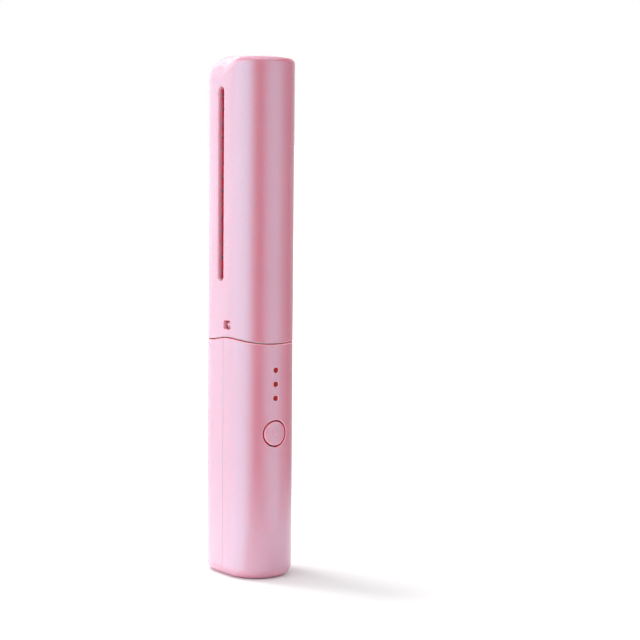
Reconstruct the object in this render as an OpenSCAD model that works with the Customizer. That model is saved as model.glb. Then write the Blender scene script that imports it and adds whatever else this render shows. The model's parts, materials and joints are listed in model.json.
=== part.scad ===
// Cordless hot comb: a pocket-size heated comb with a slide-off travel cap.
// +Z runs up the comb, the tooth side faces -X and the button side faces -Y.
// The origin is on the base, on the oval body's axis. All lengths are in millimetres.

/* [Body section] */
// Height of the comb with its cap on
total_height = 200; // [190:1:220]
// Depth of the oval body, front to back
body_depth = 37; // [35:0.5:40]
// Reach of the rounded side from the body's axis
round_reach = 15.1; // [14.4:0.1:16]
// Distance of the plane that the flat side blends to from the axis
flat_reach = 14; // [13.6:0.05:14.4]
// Fullness of the oval, where 2 is an ellipse
oval_power = 2.15; // [2.1:0.05:2.5]
// Softness of the two edges beside the flat side
edge_blend = 1.4; // [0.8:0.1:2]
// Radius of the rounding round the base
base_radius = 4; // [3:0.5:5]
// Radius of the rounding round the top of the cap
top_radius = 2.2; // [2:0.1:3]
// Radius of the larger rounding between the top and the flat side
nose_radius = 9; // [6:0.5:10]
// Rise of the top's middle above its long ends
top_crown = 0.8; // [0.2:0.1:1.2]

/* [Seam between cap and handle] */
// Mean height of the seam above the base
seam_height = 91.6; // [88:0.2:98]
// Rise and fall of the seam's wave
seam_wave = 0.95; // [0.5:0.05:1.6]
// Angle by which the wave is turned round the axis
seam_turn = 21; // [0:1:30]
// Rise and fall of the shorter wave that rides on it
seam_ripple = 0.3; // [0:0.05:0.4]
// Gap between cap and handle at the seam
seam_gap = 0.3; // [0.3:0.05:0.6]
// Bevel on the outer edges beside the seam
edge_break = 0.25; // [0.2:0.05:0.6]

/* [Cap] */
// Wall of the cap
cap_wall = 1.8; // [1.6:0.1:2]
// Thickness of the cap's top
cap_roof = 2; // [1.6:0.1:3]
// Clearance between the cap and the collar inside it
cap_clearance = 0.3; // [0.3:0.05:0.5]
// Width of the long vent slot
slot_width = 4; // [3:0.25:5]
// Height of the slot's lower end above the seam
slot_above_seam = 22.9; // [16:0.1:30]
// Distance of the slot's upper end below the top
slot_below_top = 12; // [10:0.5:20]
// Width of the latch window
window_width = 4.6; // [4.2:0.1:5]
// Height of the latch window
window_height = 3.3; // [3.2:0.1:3.8]
// Height of the middle of the latch above the seam
latch_above_seam = 6.2; // [5.8:0.1:6.4]
// Distance of the latch in front of the axis
latch_offset = 4.6; // [4:0.1:5]

/* [Handle] */
// Wall of the handle
handle_wall = 2; // [1.8:0.05:2]
// Thickness of the handle's floor
handle_floor = 2.2; // [1.8:0.1:2.4]
// Distance of the handle's parting plane in front of the axis
handle_parting = 2.3; // [1.5:0.1:3]
// Depth of the tongue that the front shell slides into the back shell
tongue_depth = 1.5; // [1:0.1:2]

/* [Power button and lights] */
// Distance of the button's centre below the seam
button_drop = 35; // [30:0.2:38]
// Radius of the power button
button_radius = 4.75; // [4.2:0.05:5]
// Width of the groove round the button
button_groove = 0.4; // [0.3:0.05:0.5]
// Travel of the button
button_travel = 0.4; // [0.3:0.05:0.5]
// Distance of the first light below the seam
light_drop = 10.6; // [8.8:0.2:12]
// Distance from light to light
light_pitch = 5.4; // [4.5:0.1:6]
// Radius of the holes that the lights shine through
light_radius = 1.05; // [0.8:0.05:1.3]

/* [Comb head] */
// Radius of the round barrel
barrel_radius = 9.4; // [9.2:0.05:9.5]
// Wall of the barrel
barrel_wall = 1.9; // [1.8:0.05:2]
// Height of the collar above the seam
collar_height = 7; // [6.8:0.1:7.4]
// Wall of the collar
collar_wall = 1.8; // [1.6:0.1:2]
// Height of the shoulder between collar and barrel
shoulder_height = 5.2; // [4.5:0.1:6]
// Depth to which the collar plugs into the handle
tenon_depth = 6.4; // [6.2:0.1:7]
// Gap between the head and the inside of the cap's top
head_gap = 1; // [0.8:0.1:2]
// Radius of the rounding round the top of the head
head_radius = 3.2; // [2:0.1:3.6]

/* [Comb blade] */
// Distance from tooth to tooth
tooth_pitch = 5.14; // [4.8:0.02:5.6]
// Height of a tooth at its root
tooth_root = 2.7; // [2.2:0.1:3]
// Distance of the first tooth below the top of the head
first_tooth_drop = 12.3; // [11.5:0.1:14]
// Height of a tooth at its tip
tooth_tip = 1.1; // [0.8:0.1:1.4]
// Clearance between the tooth tips and the inside of the cap
tip_clearance = 0.5; // [0.4:0.05:1]
// Thickness of the comb blade
blade_thickness = 2; // [1.6:0.1:2.2]
// Distance of the blade's front face behind the axis
blade_offset = 2.2; // [2:0.1:2.4]

/* [Inside] */
// Gap between the battery cell and the handle's back wall
cell_gap = 1; // [0.8:0.1:2]
// Room above the battery cell, below the collar
cell_head_room = 10.2; // [9.5:0.1:16]
// Room below the battery cell, above the handle's floor
cell_foot_room = 7.8; // [7:0.1:12]
// Thickness of the circuit board
board_thickness = 1.2; // [1:0.1:1.6]
// Width of the circuit board
board_width = 18; // [16:0.5:19]
// Thickness of the foam pads between board and cell
pad_thickness = 3; // [2.9:0.1:3.1]

/* [Hidden] */

segments = 72;
fillet_steps = 5;
top_steps = 6;
big = 300;
join = 0.05;
seat_gap = 0.1;

// Heights that follow from the seam and from the top.
button_z = seam_height - button_drop;
light_z = [for (i = [0:2]) seam_height - light_drop - i * light_pitch];
latch_z = seam_height + latch_above_seam;
tenon_z = seam_height - tenon_depth;
collar_z = seam_height + collar_height;
neck_z = collar_z + shoulder_height;
head_z = total_height - cap_roof - head_gap;

// The top's edge rounding stops short of level, where the crowned middle takes over. The nose is full
// within nose_start of the flat side, seen from the axis, and has faded at nose_end.
top_tilt = 79;
nose_start = 55;
nose_end = 95;
crown_x = -3;
crown_inset = flat_reach - 1.6;

// The collar sits inside the cap and inside the handle's rim.
collar_inset = cap_wall + cap_clearance;
cavity_inset = collar_inset + collar_wall;
flat_rise = soft_floor(flat_reach - round_reach);
cap_inner_flat = -(flat_reach - cap_wall) + flat_rise;
handle_inner_front = body_depth / 2 - handle_wall;

// The barrel touches the collar's round side and is cut off by a flat on the tooth side.
barrel_shift = round_reach - collar_inset - seat_gap - barrel_radius;
barrel_flat = barrel_radius - barrel_shift - 0.25;
bore_radius = barrel_radius - barrel_wall;
head_parting = 0.4;

// Comb blade
tip_x = cap_inner_flat + tip_clearance;
guard_radius = 4.6;
guard_foot = 4.2;
sweep_height = 10;
blade_top = head_z - 1.2;
first_tooth_z = head_z - first_tooth_drop;
tooth_count = round((first_tooth_z - neck_z - sweep_height - guard_foot) / tooth_pitch) + 1;
last_tooth_z = first_tooth_z - (tooth_count - 1) * tooth_pitch;
guard_tip_z = last_tooth_z - tooth_pitch + tooth_root / 2;
blade_inner_x = barrel_shift + 4.6;

// Heating core behind the blade
core_radius = bore_radius - 0.55;
core_bottom = neck_z + 2.4;
core_top = blade_top - 4;
tile_size = [9, 2.2, 24];
tile_gap = 2;
electrode_thickness = 0.2;
tile_slot = tile_size[1] + 2 * electrode_thickness;
tile_slot_y = blade_offset - 5.6;
sensor_length = 5;
sensor_radius = 0.9;
sensor_out = 0.5;
fuse_length = 10;
fuse_radius = 1.9;
fuse_bottom = core_bottom - 1.2 - fuse_length;
fuse_x = barrel_shift - 2;
fuse_y = blade_offset - 2.2;

// Button stack, from the shell inwards; every value is a distance in front of the axis.
boss_depth = 2.8;
flange_thickness = 1;
stem_length = 0.5;
plunger_height = 0.9;
switch_height = 3.1;
boss_face = handle_inner_front - boss_depth;
flange_face = boss_face - seat_gap;
stem_face = flange_face - flange_thickness;
plunger_face = stem_face - stem_length;
switch_face = plunger_face - plunger_height;
board_face = switch_face - switch_height;
board_back = board_face - board_thickness;
button_hole = button_radius + button_groove;
flange_radius = button_hole + 0.75;
boss_radius = button_hole + 1.85;
stem_radius = 1.3;
plunger_radius = 1.75;
plunger_pocket = 1.3;
switch_width = 6;

// Circuit board and what is on it
board_x = 0.5;
board_bottom = handle_floor + 0.5;
board_top = tenon_z - 0.3;
post_radius = 2.2;
post_side = 6.5;
lower_post_rise = 19;
post_places = [[board_x - post_side, board_bottom + lower_post_rise], [board_x + post_side, light_z[2] - 1.5]];
board_screw_radius = 0.75;
board_screw_bite = 4;
led_size = [1.8, 0.8, 1.2];
guide_width = 2.4;
guide_thickness = 1.2;
pin_radius = light_radius - seat_gap;
pin_recess = 0.5;
chips = [[-3.5, 40, 5, 6, 1.5], [5, 38, 4, 4, 2.4], [-5, 29, 3.2, 2.6, 1], [2.5, 28, 3, 1.6, 0.9], [4.5, 47, 3, 3, 1]];

// Charging socket at the lower end of the board
socket_size = [8.9, 3.2, 7.2];
socket_recess = 0.5;
socket_wall = 0.3;
socket_y = -(board_face + socket_size[1] / 2);
socket_clearance = 0.2;
tongue_size = [6.6, 0.7, 5.4];
tongue_recess = 0.8;

// Battery cell behind the board
cell_x = 0.6;
cell_radius = (handle_inner_front + board_back - pad_thickness - cell_gap) / 2;
cell_y = cell_radius - board_back + pad_thickness;
cell_bottom = handle_floor + cell_foot_room;
cell_top = tenon_z - cell_head_room;
cell_length = cell_top - cell_bottom;
tab_thickness = 0.25;
tab_width = 6;
tab_reach = 1;
lead_reach = 1.7;
lead_side = 6;
cradle_thickness = 1.6;
cradle_gap = 0.15;
cradle_places = [0.12, 0.5, 0.88];
pad_places = [0.22, 0.72];
pad_size = [9, 12];

// Screws that clamp the two halves of the collar
neck_side = 6.2;
neck_drop = 4.6;
neck_screw_places = [for (side = [-1, 1]) [side * neck_side, collar_z - neck_drop]];
neck_screw_tip = 6;
neck_boss_radius = 2.6;
neck_screw_radius = 0.95;
screw_head_radius = 1.9;
screw_head_height = 1.2;

pearl_pink = [0.96, 0.76, 0.85];
seam_pink = [0.9, 0.66, 0.76];

// Wires run down between the neck bosses to the back of the board.
wire_radius = 0.6;
sensor_wire_radius = 0.4;
wire_start = 5;
solder_drop = 4;
solder_length = 3;
throat_top = collar_z - collar_wall - wire_radius - 0.2;
throat_bottom = collar_z - neck_drop - neck_boss_radius - 0.8;
throat_y = -board_back + 1.4;
front_wire_x = -1.2;
fuse_wire_x = fuse_x - 0.6;
sensor_wire_x = neck_side - neck_boss_radius - 1;
sensor_wire_y = fuse_y - fuse_radius - 1.2;
sensor_solder_x = board_x + 5;

// ---------- Section of the body ----------

// Runs flat at 0 for negative values and follows v for positive ones.
function soft_floor(v) = (v + sqrt(v * v + edge_blend * edge_blend)) / 2;

function signed_power(v, power) = sign(v) * pow(abs(v), power);

// Point of the body's outline, drawn in by inset: an oval that is flattened on the -X side.
function oval_point(turn, inset) =
    let (
        x = (round_reach - inset) * signed_power(cos(turn), 2 / oval_power),
        y = (body_depth / 2 - inset) * signed_power(sin(turn), 2 / oval_power),
        plane = flat_reach - inset
    )
    [soft_floor(x + plane) - plane, y];

function turns() = [for (i = [0:segments - 1]) 360 * i / segments];
function oval(inset) = [for (turn = turns()) oval_point(turn, inset)];

// Section of the barrel with the same number of points as the oval.
function barrel_outline(radius) = [
    for (i = [0:segments - 1])
        let (turn = 360 * i / segments)
        [max(barrel_shift + radius * cos(turn), -barrel_flat), radius * sin(turn)]
];

function mix(a, b, share) = a * (1 - share) + b * share;
function ease(share) = share * share * (3 - 2 * share);
function lift(outline, z) = [for (p = outline) [p[0], p[1], z]];

function seam_at(p) =
    let (bearing = atan2(p[1], p[0]))
    seam_height + seam_wave * cos(2 * (bearing - seam_turn)) + seam_ripple * sin(4 * bearing);
function seam_ring(inset, rise) = [for (p = oval(inset)) [p[0], p[1], seam_at(p) + rise]];

// Rings up the quarter-round edge of the base.
function base_rings() = [
    for (k = [0:fillet_steps])
        let (turn = 90 * k / fillet_steps)
        lift(oval(base_radius * (1 - sin(turn))), base_radius * (1 - cos(turn)))
];

// Radius of the rounding between wall and top: the nose round the flat side, easing to the top radius.
function nose_share(p) = ease(min(max((nose_end - abs(atan2(p[1], -p[0]))) / (nose_end - nose_start), 0), 1));
function top_rounding(turn) = mix(top_radius, nose_radius, nose_share(oval_point(turn, 0)));

// Inset and height at which the top's edge rounding hands over to its crowned middle.
function top_inset(turn) = top_rounding(turn) * (1 - cos(top_tilt));
function top_height(turn) =
    let (p = oval_point(turn, top_inset(turn)))
    total_height - top_crown * (pow((p[0] - crown_x) / round_reach, 2) + pow(2 * p[1] / body_depth, 2));

// Rings up the edge rounding of the top.
function top_edge_rings() = [
    for (k = [0:top_steps])
        let (tilt = top_tilt * k / top_steps)
        [
            for (turn = turns())
                let (r = top_rounding(turn), p = oval_point(turn, r * (1 - cos(tilt))))
                [p[0], p[1], top_height(turn) - r * (sin(top_tilt) - sin(tilt))]
        ]
];

// Rings over the crowned middle of the top.
function top_crown_rings() = [
    for (share = [0.25:0.25:1])
        [
            for (turn = turns())
                let (p = oval_point(turn, mix(top_inset(turn), crown_inset, share)))
                [p[0], p[1], mix(top_height(turn), total_height, share * (2 - share))]
        ]
];

// Rings down the edge rounding of the cap's inside, one wall in from the outside.
function inner_rounding(turn) = max(top_rounding(turn) - cap_wall, seat_gap);
function roof_rings() = [
    for (k = [top_steps:-1:0])
        let (tilt = 90 * k / top_steps)
        [
            for (turn = turns())
                let (r = inner_rounding(turn), p = oval_point(turn, cap_wall + r * (1 - cos(tilt))))
                [p[0], p[1], total_height - cap_roof - r * (1 - sin(tilt))]
        ]
];

// Closed solid through a stack of rings with equally many points.
module skin(rings) {
    count = len(rings[0]);
    last = len(rings) - 1;
    sides = [
        for (j = [0:last - 1], i = [0:count - 1])
            let (k = (i + 1) % count, low = j * count, high = low + count)
            each [[low + i, high + i, high + k], [low + i, high + k, low + k]]
    ];
    bottom = [for (i = [0:count - 1]) i];
    top = [for (i = [count - 1:-1:0]) last * count + i];
    polyhedron([for (r = rings) each r], concat([bottom], sides, [top]));
}

module prism(inset, from_z, to_z) {
    translate([0, 0, from_z]) linear_extrude(to_z - from_z) polygon(oval(inset));
}

module wall_ring(outer_inset, inner_inset, from_z, to_z) {
    translate([0, 0, from_z]) linear_extrude(to_z - from_z) difference() {
        polygon(oval(outer_inset));
        polygon(oval(inner_inset));
    }
}

module box(low, high) {
    translate(low) cube(high - low);
}

// Cylinder along Y at [x, z], between two distances in front of the axis.
module front_pin(place, radius, outer, inner) {
    translate([place[0], -outer, place[1]]) rotate([-90, 0, 0]) cylinder(h = outer - inner, r = radius, $fn = 48);
}

module ahead_of(y) {
    intersection() {
        children();
        box([-big, -big, -big], [big, y, big]);
    }
}

module behind(y) {
    intersection() {
        children();
        box([-big, y, -big], [big, big, big]);
    }
}

// Round wire that follows a route, with flat ends square to its first and last stretch.
module wire(route, radius) {
    sides = 8;
    last = len(route) - 1;
    function heading(i) =
        let (step = route[min(i + 1, last)] - route[max(i - 1, 0)])
        step / norm(step);
    function across(axis) =
        let (side = cross(axis, [0.3, 1, 0.1]))
        side / norm(side);
    skin([
        for (i = [0:last])
            let (axis = heading(i), right = across(axis), up = cross(axis, right))
            [for (s = [0:sides - 1]) route[i] + radius * (cos(45 * s) * right + sin(45 * s) * up)]
    ]);
}

// ---------- Handle ----------

module handle_cup() {
    skin(concat(
        base_rings(),
        [seam_ring(0, -edge_break), seam_ring(edge_break, 0), seam_ring(handle_wall, 0)],
        [lift(oval(handle_wall), handle_floor)]
    ));
}

// Shelf under the collar and the rib that locks into the collar's groove.
module collar_seat() {
    wall_ring(handle_wall - join, handle_wall + 1.6, tenon_z - 1.3, tenon_z - seat_gap);
}

module lock_rib(grow) {
    wall_ring(collar_inset - seat_gap - 2 * join, collar_inset + 0.7 + grow, tenon_z + 2.4 - grow,
        tenon_z + 3.4 + grow);
}

module handle_front_shell() {
    color(pearl_pink) difference() {
        union() {
            ahead_of(-handle_parting) {
                handle_cup();
            }
            tongue();
            ahead_of(-handle_parting) lock_rib(0);
            intersection() {
                front_pin([0, button_z], boss_radius, handle_inner_front + 1, boss_face);
                prism(handle_wall / 2, handle_floor, tenon_z);
            }
            intersection() {
                for (place = post_places) front_pin(place, post_radius, handle_inner_front + 1, board_face);
                prism(handle_wall / 2, handle_floor, tenon_z);
            }
        }
        front_pin([0, button_z], button_hole, body_depth, 0);
        for (z = light_z) front_pin([0, z], light_radius, body_depth, board_face);
        for (place = post_places) front_pin(place, board_screw_radius + join, board_face + board_screw_bite + 1, 0);
        socket_opening();
    }
}

module tongue() {
    intersection() {
        wall_ring(handle_wall / 2 + join, handle_wall, base_radius + 3, seam_height - 4);
        box([-big, -handle_parting - 1, 0], [big, -handle_parting + tongue_depth, big]);
    }
}

module socket_opening() {
    half = socket_size[1] / 2 + socket_clearance;
    reach = socket_size[0] / 2 + socket_clearance - half;
    translate([board_x, socket_y, -1]) linear_extrude(handle_floor + 2) stadium(reach, half);
}

module stadium(reach, radius) {
    for (side = [-1, 1]) translate([side * reach, 0]) circle(r = radius, $fn = 32);
    square([2 * reach, 2 * radius], center = true);
}

module handle_back_shell() {
    color(pearl_pink) difference() {
        behind(-handle_parting) union() {
            handle_cup();
            collar_seat();
            lock_rib(0);
            cell_cradles();
        }
        intersection() {
            wall_ring(handle_wall / 2 - join, handle_wall + 1.8, base_radius + 3 - seat_gap, seam_height - 4 + seat_gap);
            box([-big, -handle_parting - 1, 0], [big, -handle_parting + tongue_depth + seat_gap, big]);
        }
    }
}

// Ribs that carry the battery cell, with a stop at each end of it.
module cell_cradles() {
    difference() {
        intersection() {
            prism(handle_wall - join, handle_floor, tenon_z);
            union() {
                for (share = cradle_places) cradle_rib(cell_bottom + share * cell_length);
                cradle_rib(cell_bottom - tab_thickness - seat_gap - cradle_thickness / 2);
                cradle_rib(cell_top + tab_thickness + seat_gap + cradle_thickness / 2);
            }
        }
        translate([cell_x, cell_y, cell_bottom - tab_thickness - seat_gap])
            cylinder(h = cell_length + 2 * (tab_thickness + seat_gap), r = cell_radius + cradle_gap, $fn = 64);
    }
}

module cradle_rib(z) {
    box([-big, 0.5, z - cradle_thickness / 2], [big, big, z + cradle_thickness / 2]);
}

// ---------- Comb head ----------

// Collar, shoulder and barrel in one, before it is hollowed and split.
module head_blank() {
    collar_edge = oval(collar_inset + edge_break);
    shoulder_steps = 7;
    skin(concat(
        [lift(oval(collar_inset), tenon_z), lift(oval(collar_inset), collar_z - edge_break)],
        [
            for (k = [0:shoulder_steps])
                let (share = k / shoulder_steps)
                lift(mix(collar_edge, barrel_outline(barrel_radius - seat_gap), ease(share)),
                    mix(collar_z, neck_z, share))
        ]
    ));
    difference() {
        translate([barrel_shift, 0, neck_z - join]) rotate_extrude($fn = 96) barrel_profile();
        box([-big, -big, neck_z - 2], [-barrel_flat, big, big]);
    }
}

module barrel_profile() {
    height = head_z - neck_z + join;
    square([barrel_radius - head_radius, height]);
    square([barrel_radius, height - head_radius]);
    translate([barrel_radius - head_radius, height - head_radius]) intersection() {
        circle(r = head_radius, $fn = 64);
        square(head_radius);
    }
}

module head_shell() {
    difference() {
        head_blank();
        prism(cavity_inset, tenon_z - 1, collar_z - collar_wall);
        translate([barrel_shift, 0, tenon_z]) cylinder(h = head_z - barrel_wall - tenon_z, r = bore_radius, $fn = 96);
        lock_rib(seat_gap);
    }
}

module neck_boss(place) {
    intersection() {
        front_pin(place, neck_boss_radius, big, -big);
        prism(collar_inset + collar_wall / 2, tenon_z, collar_z - collar_wall);
    }
}

module comb_front_shell() {
    color(pearl_pink) difference() {
        union() {
            ahead_of(-head_parting) head_shell();
            ahead_of(-head_parting) for (place = neck_screw_places) neck_boss(place);
            latch_bump();
        }
        for (place = neck_screw_places) front_pin(place, neck_screw_radius + join, neck_screw_tip + 1.4, -1);
        collar_groove();
    }
}

// Hook on the collar that snaps into the cap's window.
module latch_bump() {
    height = latch_height();
    skin_x = cap_inner_flat + cap_clearance;
    translate([0, latch_y() + latch_width() / 2, latch_z]) rotate([90, 0, 0]) linear_extrude(latch_width())
        polygon([
            [skin_x + 1, -height / 2], [skin_x, -height / 2], [latch_x(), -0.2], [latch_x(), 0.3],
            [skin_x, height / 2], [skin_x + 1, height / 2]
        ]);
}

function latch_y() = -latch_offset;
function latch_width() = window_width / 2 + 0.2;
function latch_height() = window_height - 0.8;
function latch_x() = cap_inner_flat - cap_wall / 3;

// Narrow upright groove in the front of the collar.
module collar_groove() {
    box([-1.45, -body_depth / 2, seam_height - 2], [-0.95, -body_depth / 2 + collar_inset + 0.5, collar_z - 1]);
}

module comb_back_shell() {
    color(pearl_pink) difference() {
        behind(-head_parting) union() {
            head_shell();
            for (place = neck_screw_places) neck_boss(place);
        }
        for (place = neck_screw_places) {
            front_pin(place, neck_screw_radius + seat_gap, head_parting + 1, -big);
            front_pin(place, screw_head_radius + seat_gap, -neck_head_seat(), -big);
        }
        blade_slot();
    }
}

// Distance behind the axis at which the neck screws' heads sit.
function neck_head_seat() = body_depth / 2 - collar_inset - 4.9;

module blade_slot() {
    box([-big, blade_offset - seat_gap, blade_foot() - seat_gap],
        [blade_inner_x + seat_gap, blade_offset + blade_thickness + seat_gap, blade_top + seat_gap]);
}

function blade_foot() = guard_tip_z - sweep_height;

module comb_blade() {
    color(pearl_pink) intersection() {
        translate([0, blade_offset + blade_thickness, 0]) rotate([90, 0, 0]) linear_extrude(blade_thickness)
            blade_profile();
        blade_taper();
    }
}

// Side view of the blade in one outline: x towards the back of the head and y up the comb.
module blade_profile() {
    polygon(concat(
        [[blade_inner_x, blade_foot()], [-barrel_flat, blade_foot()]],
        foot_guard(),
        [for (i = [tooth_count - 1:-1:0]) each tooth(first_tooth_z - i * tooth_pitch)],
        top_guard(),
        [[-barrel_flat, blade_top], [blade_inner_x, blade_top]]
    ));
}

// Tooth with a rounded tip, from its lower root to its upper one.
function tooth(z) = [
    [-barrel_flat, z - tooth_root / 2],
    for (turn = [-90:30:90]) [tip_x + tooth_tip / 2 * (1 - cos(turn)), z + tooth_tip / 2 * sin(turn)],
    [-barrel_flat, z + tooth_root / 2]
];

// Guard below the last tooth, which sweeps up out of the neck.
function foot_guard() = [
    for (turn = [90:-7.5:0])
        [tip_x - (barrel_flat + tip_x) * sin(turn), blade_foot() + (sweep_height - 1.2) * cos(turn)],
    [tip_x, guard_tip_z - 0.4],
    [tip_x + 0.4, guard_tip_z],
    [-barrel_flat, guard_tip_z + 0.3]
];

// Guard above the first tooth, with a round outer corner.
function top_guard() =
    let (low = first_tooth_z + tooth_pitch - tooth_root / 2, high = blade_top - 1)
    [
        [-barrel_flat, low - 0.3], [tip_x + 0.4, low], [tip_x, low + 0.4],
        for (turn = [0:7.5:90])
            [tip_x + guard_radius * (1 - cos(turn)), high - guard_radius * (1 - sin(turn))],
        [-barrel_flat, high]
    ];

// Plan view wedge that thins the teeth towards their tips.
module blade_taper() {
    middle = blade_offset + blade_thickness / 2;
    half = blade_thickness / 2;
    translate([0, 0, blade_foot() - 1]) linear_extrude(blade_top - blade_foot() + 2) polygon([
        [blade_inner_x + 1, middle - half], [-barrel_flat, middle - half], [tip_x - 1, middle - half * 0.6],
        [tip_x - 1, middle + half * 0.6], [-barrel_flat, middle + half], [blade_inner_x + 1, middle + half]
    ]);
}

// ---------- Heater ----------

module heating_core() {
    color("silver") difference() {
        translate([barrel_shift, 0, core_bottom]) cylinder(h = core_top - core_bottom, r = core_radius, $fn = 96);
        box([-big, blade_offset, 0], [big, big, big]);
        box([barrel_shift - tile_size[0] / 2 - seat_gap, tile_slot_y, 0],
            [barrel_shift + tile_size[0] / 2 + seat_gap, tile_slot_y + tile_slot, big]);
        sensor_pocket();
    }
}

module sensor_pocket() {
    translate([sensor_place()[0], sensor_place()[1], core_bottom - 1])
        cylinder(h = sensor_length + 1, r = sensor_radius + seat_gap, $fn = 32);
}

function sensor_place() = [barrel_shift + 3, blade_offset - 1.5];

module heater_tiles() {
    color("wheat") for (z = [core_bottom + 3:tile_size[2] + tile_gap:core_top - tile_size[2]])
        translate([barrel_shift - tile_size[0] / 2, tile_slot_y + electrode_thickness, z]) cube(tile_size);
}

module electrode_strips() {
    color("gold") for (y = [tile_slot_y, tile_slot_y + tile_slot - electrode_thickness])
        box([barrel_shift - tile_size[0] / 2, y, core_bottom - 1],
            [barrel_shift + tile_size[0] / 2, y + electrode_thickness, core_top - 1]);
}

module insulation_sleeve() {
    color("darkgoldenrod") ahead_of(blade_offset - seat_gap) translate([barrel_shift, 0, core_bottom]) difference() {
        cylinder(h = core_top - core_bottom, r = bore_radius - seat_gap, $fn = 96);
        translate([0, 0, -1]) cylinder(h = core_top, r = core_radius + seat_gap, $fn = 96);
    }
}

module thermal_fuse() {
    color("gainsboro") translate([fuse_x, fuse_y, fuse_bottom]) cylinder(h = fuse_length, r = fuse_radius, $fn = 32);
}

module temperature_sensor() {
    color("black") translate([sensor_place()[0], sensor_place()[1], core_bottom - sensor_out])
        cylinder(h = sensor_length, r = sensor_radius, $fn = 32);
}

module heater_leads() {
    strip_x = barrel_shift - 0.9;
    strip_y = tile_slot_y - wire_radius - seat_gap;
    color("white") {
        wire(concat(
            [
                [strip_x, strip_y, core_bottom - wire_radius / 2], [strip_x, strip_y, core_bottom - wire_start],
                [front_wire_x, throat_y, throat_top], [front_wire_x, throat_y, throat_bottom],
                [front_wire_x, throat_y, tenon_z]
            ],
            board_end(front_wire_x, wire_radius)
        ), wire_radius);
        wire(concat(
            [
                [fuse_x, fuse_y, fuse_bottom - seat_gap], [fuse_x, fuse_y, fuse_bottom - wire_start / 2],
                [fuse_wire_x, throat_y / 2, throat_bottom], [fuse_x, throat_y + wire_radius, tenon_z]
            ],
            board_end(fuse_x, wire_radius)
        ), wire_radius);
    }
}

// Last stretch of a wire that comes down to the board, where it is soldered.
function board_end(x, radius) = [
    [x, solder_y(radius) + 2 * seat_gap, board_top - solder_drop],
    [x, solder_y(radius), board_top - solder_drop - solder_length]
];

// Place of a wire's axis where the wire lies on the back of the board.
function solder_y(radius) = -board_back + radius + seat_gap;

module sensor_leads() {
    start = sensor_place();
    top = core_bottom - sensor_out - seat_gap;
    color("dimgray") for (side = [-1, 1])
        let (shift = side * (sensor_wire_radius + join))
            wire(concat(
                [
                    [start[0] + shift, start[1], top], [start[0] + shift, start[1], top - wire_start / 2],
                    [mix(start[0], sensor_wire_x, 0.7) + shift, sensor_wire_y, throat_top + 2 * sensor_wire_radius],
                    [sensor_wire_x + shift, sensor_wire_y, throat_top - 2 * sensor_wire_radius],
                    [sensor_wire_x + shift, sensor_wire_y, throat_bottom],
                    [sensor_solder_x + shift, throat_y + wire_radius, tenon_z]
                ],
                board_end(sensor_solder_x + shift, sensor_wire_radius)
            ), sensor_wire_radius);
}

// ---------- Screws ----------

module screw(head_y, tip_y, place, radius) {
    front_pin(place, radius, -tip_y, -head_y);
    front_pin(place, screw_head_radius, -head_y, -head_y - screw_head_height);
}

module neck_screws() {
    color("silver") for (place = neck_screw_places) screw(neck_head_seat(), -neck_screw_tip, place, neck_screw_radius);
}

module board_screws() {
    color("silver") for (place = post_places) screw(-board_back, -board_face - board_screw_bite, place, board_screw_radius);
}

// ---------- Button, switch and lights ----------

module power_button() {
    color(seam_pink) {
        intersection() {
            skin(concat(base_rings(), [seam_ring(0, -edge_break)],
                [lift(oval(0), total_height)]));
            front_pin([0, button_z], button_radius, body_depth, flange_face);
        }
        front_pin([0, button_z], flange_radius, flange_face, stem_face);
        front_pin([0, button_z], stem_radius, stem_face, plunger_face);
    }
}

module switch_plunger() {
    color("black") front_pin([0, button_z], plunger_radius, plunger_face, switch_face - plunger_pocket / 2);
}

module switch_body() {
    color("dimgray") difference() {
        box([-switch_width / 2, -switch_face, button_z - switch_width / 2],
            [switch_width / 2, -board_face, button_z + switch_width / 2]);
        front_pin([0, button_z], plunger_radius + seat_gap, switch_face + 1, switch_face - plunger_pocket);
    }
}

module light_guide() {
    strip_front = handle_inner_front - seat_gap;
    color("mistyrose") {
        box([-guide_width / 2, -strip_front, light_z[2] - 2],
            [guide_width / 2, -strip_front + guide_thickness, light_z[0] + 1.4]);
        for (z = light_z)
            front_pin([0, z], pin_radius, body_depth / 2 - pin_recess, board_face + led_size[1] + seat_gap);
    }
}

module indicator_leds() {
    color("white") for (z = light_z)
        box([-led_size[0] / 2, -board_face - led_size[1], z - led_size[2] / 2],
            [led_size[0] / 2, -board_face, z + led_size[2] / 2]);
}

// ---------- Board and socket ----------

module circuit_board() {
    color("darkgreen") difference() {
        box([board_x - board_width / 2, -board_face, board_bottom],
            [board_x + board_width / 2, -board_back, board_top]);
        for (place = post_places) front_pin(place, board_screw_radius + 0.35, board_face + 1, board_back - 1);
    }
}

module board_chips() {
    color("black") for (c = chips)
        box([c[0] - c[2] / 2, -board_face - c[4], c[1] - c[3] / 2], [c[0] + c[2] / 2, -board_face, c[1] + c[3] / 2]);
}

module charging_socket() {
    half = socket_size[1] / 2;
    reach = socket_size[0] / 2 - half;
    color("silver") translate([board_x, socket_y, socket_recess]) difference() {
        linear_extrude(socket_size[2]) stadium(reach, half);
        translate([0, 0, -1]) linear_extrude(socket_size[2]) stadium(reach, half - socket_wall);
    }
}

module charging_tongue() {
    color("black") translate([board_x - tongue_size[0] / 2, socket_y - tongue_size[1] / 2, socket_recess + tongue_recess])
        cube(tongue_size);
}

// ---------- Battery ----------

module battery_cell() {
    color("royalblue") translate([cell_x, cell_y, cell_bottom]) cylinder(h = cell_length, r = cell_radius, $fn = 96);
}

module battery_tabs() {
    color("gainsboro") for (z = [cell_bottom - tab_thickness, cell_top])
        translate([cell_x - tab_width / 2, -board_back + tab_reach, z])
            cube([tab_width, cell_y + board_back - tab_reach, tab_thickness]);
}

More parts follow.
